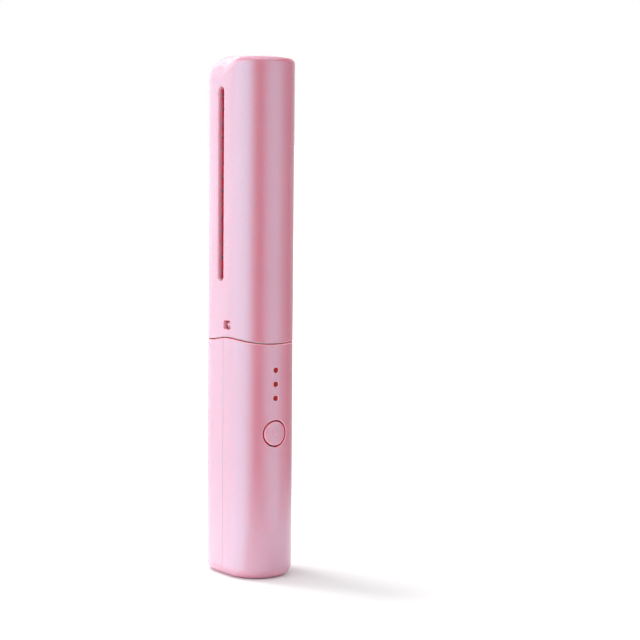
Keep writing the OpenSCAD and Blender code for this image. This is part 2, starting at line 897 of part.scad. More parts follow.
module battery_pads() {
    color("gray") for (share = pad_places) difference() {
        box([cell_x - pad_size[0] / 2, -board_back, cell_bottom + share * cell_length - pad_size[1] / 2],
            [cell_x + pad_size[0] / 2, cell_y - cell_radius + 2, cell_bottom + share * cell_length + pad_size[1] / 2]);
        translate([cell_x, cell_y, 0]) cylinder(h = total_height, r = cell_radius + join, $fn = 96);
    }
}

module battery_lead_red() {
    color("red") battery_lead(cell_top + tab_thickness + wire_radius + seat_gap, -1);
}

module battery_lead_black() {
    color("black") battery_lead(cell_bottom - tab_thickness - wire_radius - seat_gap, 1);
}

// Lead that starts on a tab at height z and runs along the board, towards the cell's middle.
module battery_lead(z, way) {
    wire([
        [cell_x, -board_back + lead_reach, z], [cell_x - lead_side / 2, -board_back + lead_reach, z],
        [cell_x - lead_side, -board_back + lead_reach - 0.4, z + way * 3],
        [cell_x - lead_side, solder_y(wire_radius), z + way * 8]
    ], wire_radius);
}

// ---------- Cap ----------

module cap_shell() {
    color(pearl_pink) difference() {
        skin(concat(
            roof_rings(),
            [seam_ring(cap_wall, seam_gap), seam_ring(edge_break, seam_gap), seam_ring(0, seam_gap + edge_break)],
            top_edge_rings(), top_crown_rings()
        ));
        vent_slot();
        latch_window();
        latch_track();
    }
}

module vent_slot() {
    low = seam_height + slot_above_seam + slot_width / 2;
    high = total_height - slot_below_top - slot_width / 2;
    translate([-flat_reach - 5, 0, 0]) rotate([90, 0, 90]) linear_extrude(8) {
        for (z = [low, high]) translate([0, z]) circle(r = slot_width / 2, $fn = 48);
        translate([-slot_width / 2, low]) square([slot_width, high - low]);
    }
}

module latch_window() {
    box([-flat_reach - 5, latch_y() - window_width / 2, latch_z - window_height / 2],
        [cap_inner_flat + 1, latch_y() + window_width / 2, latch_z + window_height / 2]);
}

// Track inside the cap's wall in which the latch runs as the cap slides off.
module latch_track() {
    half = latch_width() / 2 + cap_clearance;
    box([latch_x() - cap_clearance, latch_y() - half, 0], [cap_inner_flat + 1, latch_y() + half, latch_z]);
}

handle_front_shell();
handle_back_shell();
comb_front_shell();
comb_back_shell();
comb_blade();
heating_core();
heater_tiles();
electrode_strips();
insulation_sleeve();
thermal_fuse();
temperature_sensor();
heater_leads();
sensor_leads();
neck_screws();
power_button();
switch_plunger();
switch_body();
light_guide();
indicator_leds();
circuit_board();
board_chips();
board_screws();
charging_socket();
charging_tongue();
battery_cell();
battery_tabs();
battery_pads();
battery_lead_red();
battery_lead_black();
cap_shell();
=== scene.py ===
"""Looks of a cordless hot comb with a slide-off cap.

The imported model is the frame. The outer shells, the button and the comb blade are worked out again
here as fine surfaces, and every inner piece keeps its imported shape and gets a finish. Shapes are
worked out in millimetres and are scaled to metres once, when a piece is finished.
"""

import json
import logging
import math
from collections.abc import Callable, Iterator, Sequence
from contextlib import contextmanager
from dataclasses import dataclass
from enum import Enum

import bmesh
import bpy
import numpy as np
from mathutils import Euler, Matrix, Vector

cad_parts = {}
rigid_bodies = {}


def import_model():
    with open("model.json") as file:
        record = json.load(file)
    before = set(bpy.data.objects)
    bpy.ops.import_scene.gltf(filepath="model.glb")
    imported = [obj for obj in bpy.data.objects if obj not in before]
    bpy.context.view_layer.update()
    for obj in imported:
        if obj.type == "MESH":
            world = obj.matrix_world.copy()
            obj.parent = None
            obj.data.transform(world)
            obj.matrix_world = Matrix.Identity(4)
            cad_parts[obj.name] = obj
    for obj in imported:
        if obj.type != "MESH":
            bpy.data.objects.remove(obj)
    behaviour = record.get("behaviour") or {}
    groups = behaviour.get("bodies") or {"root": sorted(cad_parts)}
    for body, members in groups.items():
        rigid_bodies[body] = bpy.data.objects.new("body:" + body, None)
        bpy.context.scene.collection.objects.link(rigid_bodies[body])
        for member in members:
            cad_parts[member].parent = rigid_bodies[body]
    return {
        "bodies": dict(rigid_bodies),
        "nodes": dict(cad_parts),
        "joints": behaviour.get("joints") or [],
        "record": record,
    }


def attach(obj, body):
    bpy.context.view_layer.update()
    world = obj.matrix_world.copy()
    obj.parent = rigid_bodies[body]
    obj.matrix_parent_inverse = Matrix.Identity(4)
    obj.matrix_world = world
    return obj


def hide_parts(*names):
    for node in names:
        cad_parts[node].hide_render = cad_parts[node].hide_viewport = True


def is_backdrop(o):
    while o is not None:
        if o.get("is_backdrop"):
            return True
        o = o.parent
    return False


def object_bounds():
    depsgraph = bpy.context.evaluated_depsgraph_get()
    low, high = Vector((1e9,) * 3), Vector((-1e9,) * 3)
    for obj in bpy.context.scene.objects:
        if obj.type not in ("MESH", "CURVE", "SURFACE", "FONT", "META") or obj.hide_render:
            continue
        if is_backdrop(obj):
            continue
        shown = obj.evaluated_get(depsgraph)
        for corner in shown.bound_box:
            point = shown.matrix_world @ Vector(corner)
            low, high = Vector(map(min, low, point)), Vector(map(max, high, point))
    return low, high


Array = np.ndarray
Pair = tuple[float, float]
Triple = tuple[float, float, float]
Colour = Triple
Material = bpy.types.Material
Piece = bpy.types.Object
Socket = bpy.types.NodeSocket
MM = 0.001
ALMOST = 0.001
QUARTER = math.pi / 2
FAR = 30.0
UNDER_SURFACE = 0.003
WHITE = (1.0, 1.0, 1.0, 1.0)
NOISE_SPAN = (0.3, 0.7)
LOG = logging.getLogger("hot_comb")


class Body(Enum):
    """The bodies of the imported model."""

    COMB = "comb"
    BUTTON = "button"
    CAP = "cap"


class Slot(Enum):
    """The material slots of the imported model."""

    PEARL = "pearl_pink"
    CORE = "core_aluminium"
    CERAMIC = "ceramic"
    COPPER = "copper_alloy"
    FILM = "film"
    STEEL = "plated_steel"
    BLACK = "black_plastic"
    WHITE_WIRE = "white_insulation"
    BLACK_WIRE = "black_insulation"
    RED_WIRE = "red_insulation"
    SCREW = "screw_steel"
    LENS = "diffuser"
    LED = "led_white"
    BOARD = "board_green"
    CELL = "cell_wrap"
    NICKEL = "nickel"
    FOAM = "foam"


class Extra(Enum):
    """Other finishes of the pearl pieces: of cut walls, gaps, rims and the head."""

    # Cut walls and the cap's inside: bare plastic, given a paler colour than the body as painted light in
    # the shaded slot and window.
    BARE_PAINTED_LIGHT = "bare"
    # Gaps and hole walls: a darker coral as painted shade.
    GAP_PAINTED_SHADE = "gap"
    # Rims of holes and of the button: a paler coral as a painted highlight.
    RIM_PAINTED_HIGHLIGHT = "rim"
    HEAD = "head"


# --------------------------------------------------------------------------------------------------
# Nodes and finishes
# --------------------------------------------------------------------------------------------------


def linear(colour: Colour) -> Colour:
    """Turns a display colour into a linear one: the power curve of sRGB, channel by channel.

    Args:
        colour: Red, green and blue from 0 to 1, as a screen shows them.

    Returns:
        The same colour as linear light.
    """
    return tuple(
        part / 12.92 if part <= 0.04045 else ((part + 0.055) / 1.055) ** 2.4 for part in colour
    )


class Nodes:
    """Writes shader nodes into a tree."""

    def __init__(self, tree: bpy.types.NodeTree) -> None:
        """Starts on a tree."""
        self.tree = tree

    def feed(self, target: Socket, value: object) -> None:
        """Links an input to a socket, or sets its value.

        Args:
            target: The input.
            value: A socket, or the value to set.
        """
        if isinstance(value, bpy.types.NodeSocket):
            self.tree.links.new(value, target)
        else:
            target.default_value = value

    def add(
        self, kind: str, inputs: dict[str | int, object] | None = None, **settings: object
    ) -> bpy.types.Node:
        """Adds a node.

        Args:
            kind: The node's type name, without ShaderNode.
            inputs: Input names or numbers, each with a socket or a value.
            **settings: The node's properties.

        Returns:
            The new node.
        """
        made = self.tree.nodes.new("ShaderNode" + kind)
        for key, value in settings.items():
            setattr(made, key, value)
        for key, value in (inputs or {}).items():
            self.feed(made.inputs[key], value)
        return made

    def maths(self, operation: str, *values: Socket | float) -> Socket:
        """Works out an operation on sockets or numbers."""
        return self.add("Math", dict(enumerate(values)), operation=operation).outputs[0]

    def step(self, source: Socket, span: Pair, levels: Pair, way: str = "SMOOTHSTEP") -> Socket:
        """Runs from one level to another over a span of the source.

        Args:
            source: The values.
            span: Where the change starts and ends.
            levels: The levels before and after it.
            way: How it runs between them.

        Returns:
            The socket with the result.
        """
        keys = ("Value", "From Min", "From Max", "To Min", "To Max")
        inputs = dict(zip(keys, (source, *span, *levels)))
        return self.add("MapRange", inputs, interpolation_type=way).outputs["Result"]

    def ramp(self, source: Socket, stops: Sequence[tuple[float, Colour]]) -> Socket:
        """Turns values into colours; each stop is a place from 0 to 1 and its linear colour.

        Args:
            source: Values from 0 to 1.
            stops: Places and colours, in order.

        Returns:
            The socket with the colour.
        """
        made = self.add("ValToRGB", {"Fac": source})
        points = made.color_ramp.elements
        while len(points) < len(stops):
            points.new(0.5)
        for point, (where, colour) in zip(points, stops):
            point.position = where
            point.color = (*colour, 1.0)
        return made.outputs["Color"]


class Brush(Nodes):
    """Writes a material with one Principled shader."""

    def __init__(self, name: str) -> None:
        """Starts a material of that name.

        Args:
            name: The material's name.
        """
        self.material = bpy.data.materials.new(name)
        self.material.use_nodes = True
        super().__init__(self.material.node_tree)
        self.shader = self.tree.nodes["Principled BSDF"]

    def put(self, **sockets: object) -> None:
        """Feeds inputs of the shader, with underscores for the blanks in their names."""
        for key, value in sockets.items():
            self.feed(self.shader.inputs[key.replace("_", " ")], value)

    def place(self, scale: Sequence[float] = (1.0,) * 3, turn: Triple = (0.0,) * 3) -> Socket:
        """Gives object coordinates, scaled and turned about X, Y and Z.

        Args:
            scale: Factors along X, Y and Z.
            turn: Turns about X, Y and Z, in radians.

        Returns:
            The socket with the coordinates.
        """
        source = self.add("TexCoord").outputs["Object"]
        inputs = {"Vector": source, "Scale": scale, "Rotation": turn}
        return self.add("Mapping", inputs).outputs["Vector"]

    def noise(self, waves: float | Triple, detail: float = 2.0) -> Socket:
        """Gives noise from 0 to 1, with so many waves per metre, or so many along each axis.

        Args:
            waves: Waves per metre, for all axes or for each.
            detail: Octaves of the noise.

        Returns:
            The socket with the noise.
        """
        places = self.place(np.broadcast_to(waves, 3).tolist())
        inputs = {"Vector": places, "Scale": 1.0, "Detail": detail}
        return self.add("TexNoise", inputs).outputs["Fac"]

    def tone(self, source: Socket, dark: Colour, light: Colour) -> None:
        """Colours the surface from dark to light over the span that noise mostly fills."""
        stops = list(zip(NOISE_SPAN, (linear(dark), linear(light))))
        self.put(Base_Color=self.ramp(source, stops))

    def polish(self, source: Socket, low: float, high: float) -> None:
        """Lets the roughness run from low to high over the same span."""
        self.put(Roughness=self.step(source, NOISE_SPAN, (low, high), "LINEAR"))

    def relief(self, source: Socket, height: float, strength: float) -> None:
        """Bumps the surface; the height is what 1 stands for, in metres."""
        inputs = {"Height": source, "Distance": height, "Strength": strength}
        self.put(Normal=self.add("Bump", inputs).outputs["Normal"])


@dataclass(frozen=True)
class Finish:
    """A surface in two tones. Each kind of finish paints itself in its own way."""

    name: str
    dark: Colour
    light: Colour

    def paint(self, brush: Brush) -> None:
        """Sets up the shader."""
        raise NotImplementedError

    def make(self) -> Material:
        """Writes the material.

        Returns:
            The finished material.
        """
        brush = Brush(self.name)
        self.paint(brush)
        return brush.material


@dataclass(frozen=True)
class PearlPlastic(Finish):
    """Glossy plastic with a pearl pigment: a pink body under a lilac lustre and a clear skin."""

    lustre: Colour = (0.20, 0.82, 1.0)
    lustre_index: float = 1.965
    roughness: float = 0.26
    flakes: float = 5200.0
    clouds: Triple = (60.0, 60.0, 22.0)
    skin: float = 0.35
    depth: float = 0.0014
    scatter_reach: Triple = (1.0, 0.3, 0.35)

    def paint(self, brush: Brush) -> None:
        """Varies the tone in wide clouds, and gloss and relief in fine flakes.

        Args:
            brush: The material's brush.
        """
        flakes = brush.noise(self.flakes)
        brush.tone(brush.noise(self.clouds), self.dark, self.light)
        brush.polish(flakes, self.roughness - 0.015, self.roughness + 0.015)
        brush.put(IOR=self.lustre_index, Specular_IOR_Level=1.0, Specular_Tint=(*self.lustre, 1.0))
        brush.put(Coat_Weight=self.skin, Coat_Roughness=0.08, Coat_IOR=1.46)
        brush.put(Subsurface_Weight=1.0, Subsurface_Scale=self.depth)
        brush.put(Subsurface_Radius=self.scatter_reach)
        brush.relief(flakes, 0.0000015, 0.2)


@dataclass(frozen=True)
class BarePlastic(Finish):
    """The same plastic without its lustre, as on the inside, in every cut, in gaps and on rims; its given
    colours there carry painted light and shade: paler in cuts and on rims, darker in gaps.
    """

    roughness: float = 0.45
    depth: float = 0.008
    grain: float = 2200.0
    scatter_reach: Triple = (1.0, 0.3, 0.35)

    def paint(self, brush: Brush) -> None:
        """Varies tone, gloss and relief with one grain.

        Args:
            brush: The material's brush.
        """
        grain = brush.noise(self.grain)
        brush.tone(grain, self.dark, self.light)
        brush.polish(grain, self.roughness - 0.05, self.roughness + 0.05)
        brush.put(Specular_IOR_Level=0.12, Subsurface_Weight=1.0, Subsurface_Scale=self.depth)
        brush.put(Subsurface_Radius=self.scatter_reach)
        brush.relief(grain, 0.000005, 0.4)


@dataclass(frozen=True)
class MouldedPlastic(Finish):
    """Moulded plastic or rubber with a fine grain."""

    roughness: float = 0.5
    grain: float = 2600.0
    grain_height: float = 0.00001
    skin: float = 0.0

    def paint(self, brush: Brush) -> None:
        """Varies the tone in clouds twelve times as wide as the grain.

        Args:
            brush: The material's brush.
        """
        grain = brush.noise(self.grain, 3.0)
        brush.tone(brush.noise(self.grain / 12), self.dark, self.light)
        brush.polish(grain, self.roughness - 0.06, self.roughness + 0.06)
        brush.put(Coat_Weight=self.skin, Coat_Roughness=0.08)
        brush.relief(grain, self.grain_height, 0.6)


@dataclass(frozen=True)
class WorkedMetal(Finish):
    """Metal with tool marks that run across one axis."""

    roughness: float = 0.3
    marks: Triple = (400.0, 400.0, 9000.0)

    def paint(self, brush: Brush) -> None:
        """Varies tone, gloss and relief with the marks.

        Args:
            brush: The material's brush.
        """
        marks = brush.noise(self.marks, 3.0)
        brush.tone(marks, self.dark, self.light)
        brush.polish(marks, self.roughness - 0.08, self.roughness + 0.1)
        brush.put(Metallic=1.0)
        brush.relief(marks, 0.000006, 0.5)


@dataclass(frozen=True)
class TintedLens(Finish):
    """Slightly see-through plastic of the light pins."""

    def paint(self, brush: Brush) -> None:
        """Varies tone and gloss with a haze.

        Args:
            brush: The material's brush.
        """
        haze = brush.noise(900.0)
        brush.tone(haze, self.dark, self.light)
        brush.polish(haze, 0.3, 0.38)
        brush.put(IOR=1.35, Specular_IOR_Level=0.3, Subsurface_Weight=0.5, Subsurface_Scale=0.0006)


@dataclass(frozen=True)
class BoardFinish(Finish):
    """Dark solder mask over lighter copper tracks."""

    def paint(self, brush: Brush) -> None:
        """Lays the tracks along the joints of a brick pattern.

        Args:
            brush: The material's brush.
        """
        mask, track = (*linear(self.dark), 1.0), (*linear(self.light), 1.0)
        inputs = {"Vector": brush.place(turn=(QUARTER, 0.0, 0.0)), "Color1": mask, "Color2": mask}
        inputs |= {"Mortar": track, "Scale": 240.0, "Mortar Size": 0.05}
        bricks = brush.add("TexBrick", inputs, offset=0.37)
        brush.put(Base_Color=bricks.outputs["Color"])
        brush.polish(brush.noise(1500.0), 0.3, 0.42)
        brush.relief(bricks.outputs["Fac"], 0.00003, 0.5)


FINISHES = {
    Slot.PEARL: PearlPlastic("pearl_plastic", (0.911, 0.573, 0.647), (0.923, 0.595, 0.668)),
    Slot.CORE: WorkedMetal("milled_aluminium", (0.72, 0.73, 0.74), (0.84, 0.85, 0.86), 0.34),
    Slot.CERAMIC: MouldedPlastic(
        "fired_ceramic", (0.80, 0.73, 0.6), (0.88, 0.83, 0.72), 0.6, 4000.0
    ),
    Slot.COPPER: WorkedMetal("brass_strip", (0.74, 0.53, 0.28), (0.87, 0.68, 0.42), 0.28),
    Slot.FILM: MouldedPlastic(
        "amber_film", (0.66, 0.4, 0.09), (0.78, 0.5, 0.15), 0.25, 600.0, skin=0.6
    ),
    Slot.STEEL: WorkedMetal("plated_steel", (0.66, 0.66, 0.67), (0.8, 0.8, 0.81), 0.25),
    Slot.BLACK: MouldedPlastic("black_moulding", (0.03, 0.03, 0.032), (0.06, 0.06, 0.063), 0.45),
    Slot.WHITE_WIRE: MouldedPlastic(
        "white_insulation", (0.82, 0.81, 0.78), (0.9, 0.9, 0.88), 0.5, 1800.0
    ),
    Slot.BLACK_WIRE: MouldedPlastic(
        "black_insulation", (0.035, 0.035, 0.04), (0.07,) * 3, 0.5, 1800.0
    ),
    Slot.RED_WIRE: MouldedPlastic(
        "red_insulation", (0.58, 0.03, 0.03), (0.7, 0.07, 0.05), 0.5, 1800.0
    ),
    Slot.SCREW: WorkedMetal(
        "zinc_screw", (0.5, 0.5, 0.53), (0.68, 0.68, 0.7), 0.35, (6000.0, 300.0, 6000.0)
    ),
    Slot.LENS: TintedLens("tinted_lens", (0.60, 0.12, 0.10), (0.70, 0.19, 0.15)),
    Slot.LED: MouldedPlastic(
        "led_moulding", (0.88, 0.85, 0.72), (0.95, 0.93, 0.84), 0.3, 3000.0, skin=0.5
    ),
    Slot.BOARD: BoardFinish("solder_mask", (0.03, 0.26, 0.13), (0.07, 0.38, 0.2)),
    Slot.CELL: MouldedPlastic(
        "shrink_sleeve", (0.07, 0.22, 0.52), (0.1, 0.28, 0.6), 0.28, 300.0, skin=0.7
    ),
    Slot.NICKEL: WorkedMetal("nickel_strip", (0.62, 0.6, 0.56), (0.76, 0.74, 0.7), 0.3),
    Slot.FOAM: MouldedPlastic(
        "foam_pad", (0.2, 0.2, 0.21), (0.34, 0.34, 0.35), 0.9, 1600.0, 0.0001
    ),
    # Paler than the pearl body: painted light on cut walls and insides, which lie in shade; the missing
    # lustre and the deep scatter are real.
    Extra.BARE_PAINTED_LIGHT: BarePlastic("bare_coral_painted_light", (1.0, 0.65, 0.71), (1.0, 0.68, 0.74)),
    # Darker coral: painted shade in gaps, hole walls and behind the button.
    Extra.GAP_PAINTED_SHADE: BarePlastic("coral_gap_painted_shade", (0.86, 0.36, 0.42), (0.89, 0.4, 0.46), 0.5, 0.001),
    # Paler coral: a painted highlight on the rounded rims, and painted light on the latch's face.
    Extra.RIM_PAINTED_HIGHLIGHT: BarePlastic("pale_rim_painted_highlight", (0.995, 0.69, 0.75), (1.0, 0.73, 0.79), 0.3, 0.001),
    Extra.HEAD: PearlPlastic(
        "head_pearl", (0.865, 0.68, 0.765), (0.88, 0.7, 0.785), (0.5, 0.61, 0.73)
    ),
}


class Materials(dict):
    """The finished materials, by slot or extra."""

    def pick(self, *keys: Slot | Extra) -> list[Material]:
        """Gives the materials of some keys, in their order."""
        return [self[key] for key in keys]


# --------------------------------------------------------------------------------------------------
# Mesh tools. All lengths are in millimetres until a piece is finished.
# --------------------------------------------------------------------------------------------------


def linked(name: str, data: bpy.types.ID) -> bpy.types.Object:
    """Makes an object of its data and links it to the scene.

    Args:
        name: The object's name.
        data: Its mesh, lamp or camera.

    Returns:
        The object.
    """
    made = bpy.data.objects.new(name, data)
    bpy.context.scene.collection.objects.link(made)
    return made


@contextmanager
def edited(mesh: bpy.types.Mesh) -> Iterator[bmesh.types.BMesh]:
    """Opens a mesh for editing and writes it back.

    Args:
        mesh: The mesh.

    Yields:
        The mesh, open for editing.
    """
    work = bmesh.new()
    work.from_mesh(mesh)
    yield work
    work.to_mesh(mesh)
    work.free()


def closed_stack(name: str, rings: Array) -> Piece:
    """Closed solid through a stack of rings, with a flat face over the first and the last one.

    Each face of the grid joins two neighbours of a ring to the two above them, and the last column
    joins the first.

    Args:
        name: The object's name.
        rings: Points of all rings, as rows by columns by 3.

    Returns:
        The new object, with its faces turned outwards.
    """
    rows, columns = rings.shape[:2]
    row, column = np.meshgrid(np.arange(rows - 1), np.arange(columns), indexing="ij")
    after = (column + 1) % columns
    low, high = row * columns, (row + 1) * columns
    corners = [low + column, low + after, high + after, high + column]
    faces = np.stack(corners, axis=-1).reshape(-1, 4).tolist()
    faces += [list(range(columns)), list(range((rows - 1) * columns, rows * columns))]
    mesh = bpy.data.meshes.new(name)
    mesh.from_pydata(rings.reshape(-1, 3).tolist(), [], faces)
    with edited(mesh) as work:
        bmesh.ops.remove_doubles(work, verts=work.verts, dist=1e-5)
        bmesh.ops.recalc_face_normals(work, faces=work.faces)
    return linked(name, mesh)


def prism(name: str, outline: Array, low: float, high: float, axis: int) -> Piece:
    """Solid between two flat copies of an outline.

    Args:
        name: The object's name.
        outline: Points in the plane across the axis, in the order of the axes that are left.
        low: Where it starts along the axis.
        high: Where it ends along the axis.
        axis: 0, 1 or 2 for X, Y or Z.

    Returns:
        The new object.
    """
    rings = [np.insert(outline, axis, level, axis=1) for level in (low, high)]
    return closed_stack(name, np.stack(rings))


def box(name: str, low: Sequence[float], high: Sequence[float]) -> Piece:
    """Box between two corners."""
    outline = [[low[0], low[1]], [high[0], low[1]], [high[0], high[1]], [low[0], high[1]]]
    return prism(name, np.array(outline), low[2], high[2], 2)


def circle(radius: float, sides: int, centre: Pair) -> Array:
    """Points of a circle: the centre plus the radius times cosine and sine of even steps."""
    turn = np.linspace(0.0, 2 * math.pi, sides, endpoint=False)
    return np.c_[centre[0] + radius * np.cos(turn), centre[1] + radius * np.sin(turn)]


def rounded_box(half: Pair, radius: float, centre: Pair, steps: int) -> Array:
    """Outline of a box with round corners: four quarter circles, each moved out to its corner.

    Args:
        half: Half of the width and half of the height.
        radius: Radius of the corners.
        centre: Middle of the box.
        steps: Steps in each corner.

    Returns:
        The outline's points.
    """
    turn = np.linspace(0.0, QUARTER, steps + 1)
    x, y = radius * np.cos(turn), radius * np.sin(turn)
    reach = np.array(half) - radius
    arcs = (((1, 1), (x, y)), ((-1, 1), (-y, x)), ((-1, -1), (-x, -y)), ((1, -1), (y, -x)))
    corners = [np.stack(arc, axis=-1) + np.array(sign) * reach for sign, arc in arcs]
    return np.concatenate(corners) + np.array(centre)


def flared_tool(
    name: str,
    outline: Callable[[float], Array],
    surface: Callable[[Array], Array],
    axis: int,
    deep: float,
    width: float,
) -> Piece:
    """Tool that cuts a hole with a round edge into a curved surface on an axis's negative side.

    The edge is a quarter circle that follows the surface: the outline grows by the width times 1
    less cosine, and the tool lies below the surface by the width times 1 less sine.

    Args:
        name: The tool's name.
        outline: Gives the hole's outline, grown by a length.
        surface: Gives the surface's distance from the middle plane, from the first column.
        axis: 0 or 1 for X or Y.
        deep: Where the tool ends inside, along the axis.
        width: Radius of the edge.

    Returns:
        The tool.
    """
    rings = [np.insert(outline(0.0), axis, deep, axis=1)]
    for turn in np.linspace(0.0, QUARTER, 7):
        grown = outline(width * (1 - math.cos(turn)))
        level = -surface(grown[:, 0]) + width * (1 - math.sin(turn)) - UNDER_SURFACE
        rings.append(np.insert(grown, axis, level, axis=1))
    rings.append(np.insert(outline(width), axis, -FAR, axis=1))
    return closed_stack(name, np.stack(rings))


def bake(piece: Piece) -> None:
    """Puts the result of a piece's modifiers into its mesh.

    Args:
        piece: The object.
    """
    bpy.context.view_layer.update()
    graph = bpy.context.evaluated_depsgraph_get()
    mesh = bpy.data.meshes.new_from_object(piece.evaluated_get(graph))
    piece.modifiers.clear()
    piece.data = mesh


def carve(piece: Piece, tools: Sequence[Piece], way: str = "DIFFERENCE") -> None:
    """Cuts a piece with other solids, joins them to it (UNION) or keeps the shared (INTERSECT).

    Args:
        piece: The object that is kept.
        tools: The other solids, which are removed.
        way: DIFFERENCE, UNION or INTERSECT.
    """
    for tool in tools:
        modifier = piece.modifiers.new("carve", "BOOLEAN")
        modifier.operation = way
        modifier.solver = "EXACT"
        modifier.object = tool
        bake(piece)
        bpy.data.objects.remove(tool, do_unlink=True)


def soften(piece: Piece, width: float, from_angle: float, steps: int) -> None:
    """Breaks the edges of a piece that turn by more than an angle in degrees.

    Args:
        piece: The object.
        width: Width of the break.
        from_angle: The angle.
        steps: Faces across the break.
    """
    modifier = piece.modifiers.new("soften", "BEVEL")
    modifier.width = width
    modifier.segments = steps
    modifier.limit_method = "ANGLE"
    modifier.angle_limit = math.radians(from_angle)
    modifier.use_clamp_overlap = True
    bake(piece)


def read(items: bpy.types.bpy_prop_collection, key: str) -> Array:
    """Reads one vector of every item as rows of three numbers.

    Args:
        items: Vertices, faces or corners of a mesh.
        key: The vector's name.

    Returns:
        The rows.
    """
    values = np.zeros(len(items) * 3)
    items.foreach_get(key, values)
    return values.reshape(-1, 3)


def set_normals(mesh: bpy.types.Mesh, normals: Callable[[Array, Array, Array], Array]) -> None:
    """Gives every face corner the true normal of the surface that it lies on.

    Args:
        mesh: The mesh, in millimetres.
        normals: Gives true normals from corner points, corner normals and face normals.
    """
    corner = np.zeros(len(mesh.loops), np.int64)
    mesh.loops.foreach_get("vertex_index", corner)
    sides = np.zeros(len(mesh.polygons), np.int64)
    mesh.polygons.foreach_get("loop_total", sides)
    faces = np.repeat(read(mesh.polygons, "normal"), sides, axis=0)
    points, rough = read(mesh.vertices, "co")[corner], read(mesh.corner_normals, "vector")
    mesh.normals_split_custom_set(normals(points, rough, faces).tolist())


def finish_piece(
    piece: Piece,
    body: Body,
    stands_for: Sequence[str],
    materials: Sequence[Material],
    crease: float = 32.0,
    normals: Callable[[Array, Array, Array], Array] | None = None,
    layer: Callable[[Array, Array], Array] | None = None,
) -> None:
    """Scales a piece to metres, shades it, dresses it and hands it to its body.

    Args:
        piece: The object, in millimetres.
        body: The body that it rides on.
        stands_for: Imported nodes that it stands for.
        materials: Its materials.
        crease: Edges that turn by more than this many degrees stay sharp.
        normals: Gives true normals from corner points, corner normals and face normals.
        layer: Gives each face's material number from face centres and face normals.
    """
    mesh = piece.data
    numbers = np.zeros(len(mesh.polygons), np.int32)
    if layer is not None:
        numbers = layer(read(mesh.polygons, "center"), read(mesh.polygons, "normal"))
    mesh.polygons.foreach_set("use_smooth", np.ones(len(mesh.polygons), bool))
    mesh.set_sharp_from_angle(angle=math.radians(crease))
    if normals is not None:
        set_normals(mesh, normals)
    mesh.transform(Matrix.Scale(MM, 4))
    mesh.materials.clear()
    for material in materials:
        mesh.materials.append(material)
    mesh.polygons.foreach_set("material_index", numbers.astype(np.int32))
    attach(piece, body.value)
    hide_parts(*stands_for)
    LOG.info("%s: %d faces on %s", piece.name, len(mesh.polygons), body.value)


# --------------------------------------------------------------------------------------------------
# The comb's own shapes
# --------------------------------------------------------------------------------------------------


def smooth(share: Array) -> Array:
    """The smooth step of shares from 0 to 1: share squared times 3 less twice the share."""
    return share * share * (3 - 2 * share)


def between(low: Array, high: Array, rows: int) -> list[Array]:
    """Rings between two rings, at even shares of the way, without the two themselves."""
    shares = np.linspace(0.0, 1.0, rows + 2)[1:-1]
    return [low * (1 - share) + high * share for share in shares]


